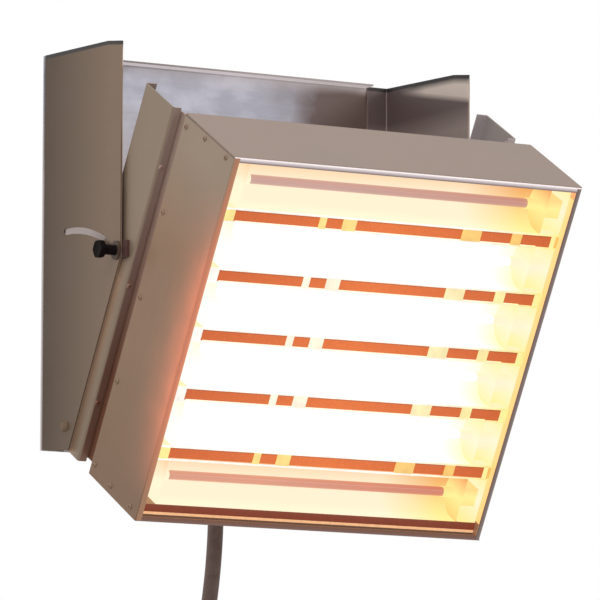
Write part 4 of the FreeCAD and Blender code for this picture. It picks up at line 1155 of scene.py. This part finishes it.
# Small fittings
@dataclass
class ClampKnobs:
    """Black hand knobs of the tilt clamps: a six-sided grip with rounded corners on a ribbed stem.

    A rib's profile holds shares of its length and of its depth.
    """

    inner: float = 0.2169
    axis_ahead: float = 0.009073
    axis_up: float = 0.207802
    stem_length: float = 0.015
    stem_radius: float = 0.0055
    stem_sides: int = 32
    ribs: int = 5
    ribs_from: float = 0.12
    ribs_share: float = 0.76
    rib_depth: float = 0.0005
    rib_profile: Profile = ((0.0, 0.0), (0.3, 1.0), (0.6, 1.0), (0.9, 0.0))
    grip: float = 0.0065
    grip_corner: float = 0.0104
    corner_round: float = 0.0024
    rim_round: float = 0.0008
    dimple_inset: float = 0.003
    dimple_depth: float = 0.0011

    def stem(self) -> Shape:
        """The ribbed stem along Z, from the washer to the grip."""
        radius = self.stem_radius
        step = self.stem_length * self.ribs_share / self.ribs
        profile = [(0.0, 0.0), (radius, 0.0)]
        for i in range(self.ribs):
            low = self.stem_length * (self.ribs_from + self.ribs_share * i / self.ribs)
            for share, deep in self.rib_profile:
                profile.append((radius - self.rib_depth * deep, low + step * share))
        profile += [(radius, self.stem_length), (0.0, self.stem_length)]
        return turned_shape(profile, self.stem_sides)

    def handle(self) -> Shape:
        """The six-sided grip along Z, with a dimple in its outer face."""
        grip = bmesh.new()
        bmesh.ops.create_circle(grip, cap_ends=True, segments=6, radius=self.grip_corner)
        bmesh.ops.rotate(grip, verts=grip.verts, cent=(0, 0, 0), matrix=Matrix.Rotation(math.pi / 6, 3, "Z"))
        grow_faces(grip, self.grip)
        upright = [edge for edge in grip.edges if edge_run(edge, 2) > self.grip / 2]
        bevel_edges(grip, upright, self.corner_round, 4)
        level = [edge for edge in grip.edges if edge_run(edge, 2) < SAME_SPOT and len(edge.link_faces) == 2]
        rims = []
        for edge in level:
            one, two = edge.link_faces
            if abs(one.normal.z - two.normal.z) > 0.5:
                rims.append(edge)
        bevel_edges(grip, rims, self.rim_round, 3)
        crown = max(grip.faces, key=lambda face: face.calc_center_median().z)
        bmesh.ops.inset_region(grip, faces=[crown], thickness=self.dimple_inset, depth=0.0)
        bmesh.ops.translate(grip, verts=crown.verts, vec=(0, 0, -self.dimple_depth))
        return grip

    def shape(self) -> Shape:
        """One knob along Z, from its washer to its outer face."""
        knob = self.stem()
        grip = self.handle()
        add_shape(knob, grip, Matrix.Translation((0, 0, self.stem_length)))
        grip.free()
        return knob

    def build(self, finish: Material) -> list[Piece]:
        """Makes both knobs on their bodies."""
        pieces = []
        for side, body in ((Side.LEFT, Body.LEFT_KNOB), (Side.RIGHT, Body.RIGHT_KNOB)):
            spot = in_head(side.value * self.inner, self.axis_ahead, self.axis_up)
            shape = self.shape()
            bmesh.ops.transform(shape, matrix=stand(Vector((side.value, 0, 0)), spot), verts=shape.verts)
            knob = new_piece(f"{side.word}_hand_knob", shape, finish)
            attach(knob, body.value)
            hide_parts(f"{side.word}_clamp_knob")
            pieces.append(knob)
        return pieces


class Drive(Enum):
    """What a fastener's head has in it."""

    LOBES = "lobes"
    PLAIN = "plain"


@dataclass
class Fasteners:
    """Screw and rivet heads that stand on the sheet metal.

    A size is a radius and a rise, and the profiles hold shares of them. Screws nearer to the hinge than
    pan_side sit on the cheeks, the others on the rear pan.
    """

    screw: Range = (0.003, 0.0014)
    rivet: Range = (0.004, 0.0016)
    steps: int = 24
    dome: Profile = ((0.0, 0.0), (1.0, 0.0), (1.0, 0.25), (0.9, 0.62), (0.66, 0.9))
    crown: Profile = ((0.33, 0.98), (0.0, 1.0))
    recess: Profile = ((0.44, 1.0), (0.38, 0.45), (0.0, 0.38))
    lobes: int = 6
    lobe_zone: Range = (0.3, 0.5)
    lobe_swell: float = 0.16
    pan_side: float = 0.045

    def head(self, size: Range, drive: Drive) -> Shape:
        """One head along Z on the plane of its seat.

        Args:
            size: radius of its seat, and its rise.
            drive: a six-lobed recess or none.

        Returns:
            The shape.
        """
        radius, rise = size
        profile = self.dome + (self.crown if drive is Drive.PLAIN else self.recess)
        shape = turned_shape([(radius * wide, rise * high) for wide, high in profile], self.steps)
        if drive is Drive.LOBES:
            low, high = (radius * share for share in self.lobe_zone)
            for vert in shape.verts:
                if low < off_axis(vert) < high:
                    turn = math.atan2(vert.co.y, vert.co.x)
                    scale_across(vert, 1 + self.lobe_swell * math.cos(self.lobes * turn))
        return shape

    @staticmethod
    def outward(spot: Vector) -> Vector:
        """To the side that a spot is on."""
        return Vector((math.copysign(1, spot.x), 0, 0))

    @staticmethod
    def forward(_: Vector) -> Vector:
        """Away from the wall, at every spot."""
        return Vector((0, -1, 0))

    def off_sheet(self, spot: Vector) -> Vector:
        """Forward along the head from the cheeks, backward from the rear pan."""
        forward = FROM_HEAD @ Vector((0, -1, 0))
        ahead = -(TO_HEAD @ (spot - HINGE)).y
        return forward if ahead < self.pan_side else -forward

    def seated(self, node: str, body: Body, finish: Material, way_at: Callable[[Vector], Vector],
               size: Range, drive: Drive) -> Piece:
        """All heads of one CAD node as one piece.

        Args:
            node: the CAD node that they stand for.
            body: what they move with.
            finish: their material.
            way_at: gives the way that the head at a spot points.
            size: radius and rise.
            drive: what the heads have in them.

        Returns:
            The piece.
        """
        whole = bmesh.new()
        one = self.head(size, drive)
        for spot in node_spots(node):
            way = way_at(spot)
            add_shape(whole, one, stand(way, spot - way * (size[1] / 2)))
        one.free()
        piece = new_piece(f"{node}_heads", whole, finish)
        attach(piece, body.value)
        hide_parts(node)
        return piece

    def build(self, finish: Material, groove: Material) -> list[Piece]:
        """Makes every group of heads, those in the grooves with the grooves' own finish and its painted
        shade.
        """
        return [
            self.seated("panel_screws", Body.HEAD, finish, self.outward, self.screw, Drive.LOBES),
            self.seated("bracket_rivets", Body.BRACKET, finish, self.forward, self.rivet, Drive.PLAIN),
            self.seated("cable_clamp_screws", Body.BRACKET, finish, self.forward, self.rivet, Drive.LOBES),
            self.seated("cheek_screws", Body.HEAD, groove, self.off_sheet, self.screw, Drive.LOBES),
        ]


@dataclass
class Lamps:
    """Filament helices inside the quartz tubes."""

    half: float = 0.150
    ahead: float = 0.1502
    helix_radius: float = 0.0011
    wire_radius: float = 0.00028
    wire_sides: int = 5
    turns: int = 120
    steps_per_turn: int = 8

    def helix(self) -> Shape:
        """One filament along Z."""
        wire = bmesh.new()
        bmesh.ops.create_circle(wire, cap_ends=False, segments=self.wire_sides, radius=self.wire_radius)
        bmesh.ops.rotate(wire, verts=wire.verts, cent=(0, 0, 0), matrix=Matrix.Rotation(math.pi / 2, 3, "X"))
        bmesh.ops.translate(wire, verts=wire.verts, vec=(self.helix_radius, 0, -self.half))
        steps = self.turns * self.steps_per_turn
        bmesh.ops.spin(
            wire, geom=wire.verts[:] + wire.edges[:], cent=(0, 0, 0), axis=(0, 0, 1),
            dvec=(0, 0, 2 * self.half / steps), angle=2 * math.pi * self.turns, steps=steps,
            use_merge=False, use_duplicate=False,
        )
        bmesh.ops.recalc_face_normals(wire, faces=wire.faces)
        return wire

    def build(self, finish: Material) -> list[Piece]:
        """Makes all filaments as one piece."""
        whole = bmesh.new()
        one = self.helix()
        for number in LAMPS:
            spot = in_head(0, self.ahead, lamp_up(number))
            add_shape(whole, one, stand(Vector((1, 0, 0)), spot))
        one.free()
        piece = new_piece("filament_helices", whole, finish)
        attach(piece, Body.HEAD.value)
        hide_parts("filaments")
        return [piece]


@dataclass
class Supply:
    """Cable gland, wire looms, coil tie and the bared cores at the cable's end."""

    gland_up: float = 0.136
    bore: float = 0.0088
    hex_corner: float = 0.01732
    hex_depth: float = 0.008
    hex_round: float = 0.0008
    nose_depth: float = 0.016
    nose_radius: float = 0.013
    nut_share: float = 0.72
    nut_sides: int = 48
    nut_groove: float = 0.955
    boot_length: float = 0.027
    boot_wide: float = 0.0122
    boot_slim: float = 0.0095
    boot_sides: int = 32
    boot_steps: int = 64
    rib_depth: float = 0.0007
    rib_pitch: int = 5
    loom_radius: float = 0.005
    loom_ahead: float = 0.0805
    loom_side: float = 0.2015
    loom_levels: Profile = ((0.0066, 0.0), (0.09, 0.0012), (0.19, -0.001), (0.28, 0.0012), (0.3581, 0.0))
    branch_up: float = 0.181
    branch_inner: float = 0.042
    branch_sag: Profile = ((0.0, 0.0), (0.3, 0.001), (0.65, 0.001), (1.0, 0.0))
    tie_wall: float = 0.0016
    tie_round: float = 0.008
    core_radius: float = 0.002
    core_share: float = 0.79
    core_steps: tuple[float, ...] = (0.0, 0.35, 0.7, 1.0)
    core_splay: tuple[float, ...] = (0.05, 0.11, 0.17)
    ferrule_radius: float = 0.0012
    ferrule_steps: tuple[float, ...] = (-0.002, 0.004, 0.008)

    def nut(self) -> Shape:
        """The gland's clamping nut along Z, with grooves round its widest part."""
        wide = self.nose_radius
        deep = self.nose_depth
        full = deep * self.nut_share
        profile = [
            (self.bore, 0.0), (wide * 0.96, 0.0), (wide * 0.96, full * 0.1), (wide, full * 0.16),
            (wide, full), (wide * 0.93, full + 0.0018), (wide * 0.8, deep * 0.95),
            (self.bore + 0.0006, deep), (self.bore, deep * 0.94), (self.bore, 0.0),
        ]
        shape = turned_shape(profile, self.nut_sides)
        for vert in shape.verts:
            side = round(math.atan2(vert.co.y, vert.co.x) / (2 * math.pi) * self.nut_sides)
            if off_axis(vert) > wide * 0.98 and side % 2:
                scale_across(vert, self.nut_groove)
        return shape

    def hexagon(self) -> Shape:
        """The gland's chamfered hexagon along Z, below its nut."""
        shape = bmesh.new()
        bmesh.ops.create_circle(shape, cap_ends=False, segments=6, radius=self.hex_corner)
        outer = shape.edges[:]
        ring = bmesh.ops.create_circle(shape, cap_ends=False, segments=24, radius=self.bore)["verts"]
        inner = list({edge for vert in ring for edge in vert.link_edges})
        bmesh.ops.bridge_loops(shape, edges=outer + inner)
        grow_faces(shape, -self.hex_depth)
        far = self.hex_corner * 0.8
        rims = [edge for edge in shape.edges if all(off_axis(vert) > far for vert in edge.verts)]
        bevel_edges(shape, rims, self.hex_round, 2)
        return shape

    def gland(self, finish: Material) -> Piece:
        """Gland with a chamfered hexagon and a ribbed clamping nut."""
        whole = self.nut()
        hexagon = self.hexagon()
        add_shape(whole, hexagon, Matrix.Identity(4))
        hexagon.free()
        backward = FROM_HEAD @ Vector((0, 1, 0))
        spot = in_head(CABLE_ACROSS, BOX_BACK - self.hex_depth, self.gland_up)
        bmesh.ops.transform(whole, matrix=stand(backward, spot), verts=whole.verts)
        piece = new_piece("ribbed_gland", whole, finish)
        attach(piece, Body.HEAD.value)
        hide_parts("cable_gland")
        return piece

    def boot(self, finish: Material) -> Piece:
        """Tapered, ribbed strain relief on the gland, round the first stretch of the flexing lead."""
        cable = Cable()
        mesh = tube_mesh("boot_line", cable.lead_points(), 0.0, self.boot_steps)
        path = [vert.co.copy() for vert in mesh.vertices]
        bpy.data.meshes.remove(mesh)
        nose = Vector(cable.lead_route[0])
        path = [spot for spot in path if (spot - nose).length < self.boot_length]
        sideways = Vector((1, 0, 0))
        stations = []
        for i, spot in enumerate(path):
            ahead = (path[min(i + 1, len(path) - 1)] - path[max(i - 1, 0)]).normalized()
            share = i / (len(path) - 1)
            rib = self.rib_depth if i % self.rib_pitch in (2, 3) and share < 0.9 else 0.0
            radius = self.boot_wide + (self.boot_slim - self.boot_wide) * share - rib
            stations.append((spot, ahead.cross(sideways), radius))
        stations += [(spot, across, self.bore) for spot, across, _ in reversed(stations)]
        shape = bmesh.new()
        rings = []
        turns = [2 * math.pi * i / self.boot_sides for i in range(self.boot_sides)]
        for spot, across, radius in stations:
            ring = [spot + (sideways * math.cos(a) + across * math.sin(a)) * radius for a in turns]
            rings.append([shape.verts.new(point) for point in ring])
        for one, two in zip(rings, rings[1:] + rings[:1]):
            for i in range(self.boot_sides):
                shape.faces.new((one[i - 1], one[i], two[i], two[i - 1]))
        bmesh.ops.recalc_face_normals(shape, faces=shape.faces)
        piece = new_piece("strain_relief", shape, finish)
        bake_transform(piece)
        return piece

    def tie(self, finish: Material) -> Piece:
        """Rounded strap round the coil's turns."""
        low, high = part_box("coil_tie")
        shape = bmesh.new()
        bmesh.ops.create_cube(shape, size=1.0)
        bmesh.ops.scale(shape, vec=high - low, verts=shape.verts)
        bmesh.ops.translate(shape, vec=(low + high) / 2, verts=shape.verts)
        long = [edge for edge in shape.edges if edge_run(edge, 0) > (high.x - low.x) / 2]
        bevel_edges(shape, long, self.tie_round, 6)
        ends = [face for face in shape.faces if abs(face.normal.x) > 0.9]
        bmesh.ops.delete(shape, geom=ends, context="FACES_ONLY")
        bmesh.ops.recalc_face_normals(shape, faces=shape.faces)
        bmesh.ops.solidify(shape, geom=shape.faces[:], thickness=self.tie_wall)
        piece = new_piece("coil_strap", shape, finish)
        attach(piece, Body.BRACKET.value)
        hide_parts("coil_tie")
        return piece

    @staticmethod
    def tube_into(target: Shape, points: list[Vector], radius: float, slot: int) -> None:
        """Adds a smooth tube through points to a shape, with a material slot."""
        mesh = tube_mesh("line", points, radius)
        before = len(target.faces)
        target.from_mesh(mesh)
        bpy.data.meshes.remove(mesh)
        target.faces.ensure_lookup_table()
        for face in target.faces[before:]:
            face.material_index = slot

    def cores(self, finishes: list[Material], bare: Material) -> Piece:
        """Five coloured cores with crimped ends, slightly splayed."""
        low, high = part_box("cable_cores")
        shape = bmesh.new()
        spots = node_spots("cable_cores")
        middle = sum(spots, Vector()) / len(spots)
        size = high - low
        letter = max(range(3), key=lambda i: size[i])
        along = Vector((0, 0, 0))
        along[letter] = 1.0
        coil_end = Cable().coil_points()[-1]
        if (middle - coil_end).dot(along) < 0:
            along = -along
        reach = (middle - coil_end).length
        insulated = 2 * reach * self.core_share
        for i, spot in enumerate(spots):
            root = spot - along * reach
            side = (spot - middle) - along * (spot - middle).dot(along)
            splay = side * self.core_splay[i % len(self.core_splay)]
            points = [root + along * (insulated * t) + splay * t * t for t in self.core_steps]
            self.tube_into(shape, points, self.core_radius, i)
            tip = points[-1]
            way = (points[-1] - points[-2]).normalized()
            crimp = [tip + way * step for step in self.ferrule_steps]
            self.tube_into(shape, crimp, self.ferrule_radius, len(finishes))
        piece = new_piece("cable_end_cores", shape, finishes[0])
        for finish in finishes[1:] + [bare]:
            piece.data.materials.append(finish)
        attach(piece, Body.BRACKET.value)
        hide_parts("cable_cores")
        return piece

    def looms(self, finish: Material) -> Piece:
        """Sleeved looms up the side panels, with branches to the terminal block."""
        shape = bmesh.new()
        ahead = self.loom_ahead
        for side in Side:
            x = side.value * self.loom_side
            points = [in_head(x - side.value * w, ahead + w, up) for up, w in self.loom_levels]
            self.tube_into(shape, points, self.loom_radius, 0)
            inner = CABLE_ACROSS + side.value * self.branch_inner
            points = []
            for share, sag in self.branch_sag:
                points.append(in_head(inner + (x - inner) * share, ahead, self.branch_up - sag))
            self.tube_into(shape, points, self.loom_radius, 0)
        piece = new_piece("sleeved_looms", shape, finish)
        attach(piece, Body.HEAD.value)
        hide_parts("wire_loom")
        return piece


# Dressing
WHITE = tone(255, 253, 246)
CREAM = tone(252, 240, 208)
YELLOW = tone(255, 236, 150)
ORANGE = tone(232, 118, 58)
AMBER = tone(247, 192, 100)
RUST = tone(206, 96, 46)
PEACH = tone(245, 188, 138)
UMBER = tone(86, 64, 50)
EMBER = tone(120, 46, 24)


class Dress:
    """Makes every finish and gives each CAD node its own."""

    def __init__(self) -> None:
        """Makes the materials."""
        finishes = self.steels() + self.castings() + self.troughs() + self.tubes()
        finishes += [self.packing(), self.foot_strip()] + self.strips() + self.ends()
        self.made = {finish.name: finish.material() for finish in finishes}

    @staticmethod
    def steels() -> list[SheetSteel]:
        """Finishes of the sheet metal."""
        side = (tone(156, 124, 97), tone(132, 102, 78))
        top = (tone(160, 138, 125), tone(146, 126, 113))
        # Lip ramps, from the inner edge to the outside: painted light and shade across each front lip.
        silver = ((0.0, tone(112, 92, 90)), (0.5, tone(206, 194, 196)), (1.0, tone(226, 218, 218)))
        umber = ((0.0, tone(126, 92, 77)), (0.45, tone(132, 96, 84)), (1.0, tone(150, 120, 110)))
        ember = ((0.0, tone(240, 158, 118)), (0.4, tone(222, 138, 106)), (1.0, tone(200, 126, 102)))
        mauve = ((0.0, tone(124, 104, 98)), (0.5, tone(146, 128, 124)), (1.0, tone(160, 146, 142)))
        seam = tone(108, 94, 84)
        crown = tone(156, 135, 115)
        return [
            # Side plates: painted shade inside and towards the wall, a painted reflection wedge and a painted
            # glow on the flanges.
            PlateSteel(
                "bracket_steel", tone(134, 111, 90), tone(121, 98, 78), turned=False, grain=(30, 30, 900),
                inside=tone(112, 96, 95), shade=tone(74, 55, 36), edge=tone(48, 42, 42),
                wedge=tone(222, 206, 194), flange_glow=tone(58, 47, 43),
            ),
            # Back plate: painted reflections, and painted light under its lip and behind the arc slot.
            BackSheet(
                "back_steel", tone(188, 188, 201), tone(160, 159, 171), turned=False, grain=(40, 40, 300),
                metallic=0.3, roughness=0.4,
                mirrored=tone(110, 92, 89), corner=tone(116, 94, 84), edge=tone(84, 70, 70),
                pale=tone(214, 214, 226), warm=tone(216, 206, 204),
            ),
            # Cheeks and zeds: painted shade in the grooves, and painted fill light and grey glow on the
            # cheeks.
            GrooveSteel(
                "cheek_steel", tone(151, 131, 112), tone(135, 116, 98), groove=tone(178, 158, 150),
                foot=tone(140, 105, 92), fill_glow=tone(112, 88, 70), grey_glow=tone(76, 79, 85),
            ),
            GrooveSteel(
                "zed_steel", tone(150, 120, 104), tone(118, 92, 80), groove=tone(186, 160, 148),
                foot=tone(134, 87, 64), reach=1.0,
            ),
            # Panels: a painted glow inside and on their lips.
            PanelSteel(
                "rear_pan", *side, lip=mauve, lip_axis="Y", lip_from=BOX_BACK + 0.0015, lip_to=BOX_BACK,
                inside=tone(250, 232, 190), inside_from=BOX_BACK + 0.001, inside_half=0.2066,
            ),
            PanelSteel(
                "top_panel", *top, lip=silver, lip_from=0.3821, lip_to=0.3881, inside=tone(232, 150, 100),
            ),
            PanelSteel(
                "bottom_panel", *side, lip=umber, lip_from=-0.0174, lip_to=-0.0234, lip_glow=0.1,
                inside=tone(96, 68, 54),
            ),
            PanelSteel(
                "left_panel", *side, lip=ember, lip_axis="X", lip_from=-0.204, lip_to=-0.210, lip_glow=0.15,
                inside=tone(252, 240, 208), heat=tone(240, 148, 112), seam=seam, crown=crown,
            ),
            PanelSteel(
                "right_panel", *side, lip=mauve, lip_axis="X", lip_from=0.204, lip_to=0.210, lip_glow=0.05,
                inside=tone(246, 196, 124), seam=seam, crown=crown,
            ),
        ]

    @staticmethod
    def castings() -> list[Cast]:
        """Finishes of the solid fittings: light and dark tone, roughness, and the metallic share of some."""
        return [
            Cast("fastener_steel", tone(140, 128, 116), tone(110, 100, 92), 0.4, 0.8),
            Cast("screw_steel", tone(152, 127, 104), tone(138, 113, 92), 0.5, 0.45),
            Cast("hinge_steel", tone(130, 108, 88), tone(116, 95, 77), 0.65, 0.2, specular=0.25),
            Cast("blackened", tone(96, 75, 61), tone(78, 60, 49), 0.6, 0.25),
            Cast("bush", tone(200, 170, 110), tone(170, 140, 80), 0.35, 0.9),
            Cast("friction", tone(86, 50, 44), tone(62, 36, 32), 0.7),
            Cast("knob", tone(22, 11, 10), tone(12, 6, 6), 0.75, specular=0.12),
            Cast(
                "filament", tone(255, 220, 150), tone(255, 200, 120), 0.4,
                glow=tone(255, 225, 160), glow_strength=2.5,
            ),
            Cast("ceramic", tone(230, 222, 208), tone(206, 196, 180), 0.7),
            Cast("sleeve", tone(190, 180, 160), tone(150, 140, 122), 0.9),
            Cast("gland", tone(44, 43, 42), tone(28, 28, 28), 0.5),
            Cast("cable", tone(136, 112, 104), tone(108, 88, 82), 0.65, scale=900.0),
            Cast("core_brown", tone(118, 66, 36), tone(96, 52, 28), 0.4),
            Cast("core_black", tone(36, 35, 34), tone(22, 22, 22), 0.4),
            Cast("core_grey", tone(136, 134, 130), tone(112, 110, 108), 0.4),
            Cast("core_blue", tone(50, 92, 150), tone(38, 74, 126), 0.4),
            Cast("core_green", tone(90, 140, 50), tone(190, 180, 50), 0.4, scale=160.0),
        ]

    @staticmethod
    def troughs() -> list[TroughGlow]:
        """Painted light in the reflectors: white glare in the middle ones, a softer glow in the first and
        last.
        """
        white = ((0.0, WHITE), (0.92, WHITE), (1.0, CREAM))
        warm = ((0.0, YELLOW), (0.5, CREAM), (1.0, YELLOW))
        soft = ((0.0, CREAM), (0.4, CREAM), (1.0, PEACH))
        soft_end = ((0.0, YELLOW), (1.0, ORANGE))
        made = []
        for number in LAMPS[1:-1]:
            name = f"reflector_{number}"
            glare = TroughGlow(name, lamp_up(number), white, warm, end_range=(0.15, 0.195), strength=1.15)
            made.append(glare)
        for number in (LAMPS[0], LAMPS[-1]):
            name = f"reflector_{number}"
            made.append(TroughGlow(name, lamp_up(number), soft, soft_end, end_range=(0.1, 0.17)))
        return made

    @staticmethod
    def tubes() -> list[Quartz]:
        """Lamps: rosy where their light is dim, white elsewhere."""
        made = [Quartz(f"lamp_tube_{n}", WHITE, WHITE, strength=1.1) for n in LAMPS[1:-1]]
        made.append(Quartz("lamp_tube_1", tone(202, 158, 148), tone(200, 140, 124), strength=0.85))
        made.append(Quartz("lamp_tube_6", tone(216, 146, 120), tone(208, 118, 92), strength=0.9))
        return made

    @staticmethod
    def packing() -> RowGlow:
        """Painted light in the packing behind the strips' slots: brightest in the middle."""
        # Painted light: glow ramp of the packing.
        heat = ((-0.2, RUST), (0.0, ORANGE), (0.2, RUST))
        return RowGlow("packing", ((-1.0, heat),), over=tone(255, 243, 190))

    @staticmethod
    def strips() -> list[RowGlow]:
        """Strips between the reflectors: painted light on the metal between the slots, dimmer in the first
        and last.
        """
        rims = ((-0.2, WHITE), (0.1, WHITE), (0.2, YELLOW))
        webs = ((-0.2, WHITE), (0.0, CREAM), (0.2, YELLOW))
        dimmer = ((-0.2, YELLOW), (0.2, AMBER))
        slot_half = 0.0064
        made = []
        for number in LAMPS[:-1]:
            middle = lamp_up(number) - PITCH / 2
            between = dimmer if number in (LAMPS[0], LAMPS[-2]) else webs
            rows = ((-1.0, rims), (middle - slot_half, between), (middle + slot_half, rims))
            made.append(RowGlow(f"land_strip_{number}", rows, grain=90.0, rough=0.4, depth=0.0002))
        return made

    @staticmethod
    def foot_strip() -> RowGlow:
        """Strips at the box's top and bottom, with painted light: brown underneath, lit at the foot, dark red
        above.
        """
        levels = ((-0.03, UMBER), (-0.0195, PEACH), (-0.0164, EMBER))
        rows = tuple((level, ((-0.2, shade), (0.2, shade))) for level, shade in levels)
        return RowGlow("edge_strip", rows, grain=300.0, rough=0.6, depth=0.0002)

    @staticmethod
    def ends() -> list[EndGlow]:
        """Holders, caps, end sheets and rails at the lamps' ends, with painted light: white on the left,
        warmer on the right.
        """
        white = ((0.0, WHITE), (0.5, WHITE), (1.0, CREAM))
        rosy = ((0.0, CREAM), (0.5, CREAM), (1.0, PEACH))
        pale = ((0.0, YELLOW), (0.5, CREAM), (1.0, YELLOW))
        outer = ((0.0, AMBER), (0.5, YELLOW), (1.0, ORANGE))
        return [
            EndGlow("end_reflectors", white, rosy, rosy, pale, outer),
            EndGlow("lamp_end", white, rosy, rosy, pale, outer),
            EndGlow("lamp_rail", white, rosy, rosy, pale, pale),
        ]

    def finish_of(self, node: str, slot: str) -> Material:
        """The material of one CAD node.

        Args:
            node: the node's name.
            slot: the record's material slot.

        Returns:
            The material.
        """
        own = {
            "clamp_washers": "blackened", "hinge_bolts": "hinge_steel", "lamp_caps": "lamp_end",
            "top_edge_strip": "edge_strip", "bottom_edge_strip": "edge_strip", "cable_cores": "core_brown",
        }
        for side in Side:
            own[f"{side.word}_cheek"] = "cheek_steel"
            own[f"{side.word}_cheek_bracket"] = "zed_steel"
            own[f"{side.word}_lamp_rail"] = "lamp_rail"
            own[f"{side.word}_lamp_holders"] = "lamp_end"
        return self.made.get(node) or self.made[own.get(node, slot)]

    def build(self) -> None:
        """Assigns a material to every node."""
        for row in frame["record"]["subparts"]:
            mesh = frame["nodes"][row["node"]].data
            mesh.materials.clear()
            mesh.materials.append(self.finish_of(row["node"], row["material_slot"]))


def main() -> None:
    """Builds the scene and reports each piece."""
    logging.basicConfig(level=logging.INFO, format="%(name)s: %(message)s")
    Studio().build()
    dress = Dress()
    dress.build()
    made = dress.made
    supply = Supply()
    strap = supply.tie(made["gland"])
    insulation = [made[f"core_{word}"] for word in ("brown", "black", "grey", "blue", "green")]
    cores = supply.cores(insulation, made["fastener_steel"])
    pieces = [strap, cores, supply.gland(made["gland"]), supply.boot(made["gland"])]
    pieces.append(supply.looms(made["sleeve"]))
    pieces += Cable().build(made["cable"], [strap, cores])
    pieces += ClampKnobs().build(made["knob"])
    pieces += Fasteners().build(made["screw_steel"], made["zed_steel"])
    pieces += Lamps().build(made["filament"])
    for piece in pieces:
        LOG.info("piece %s", piece.name)


if __name__ == "__main__":
    main()
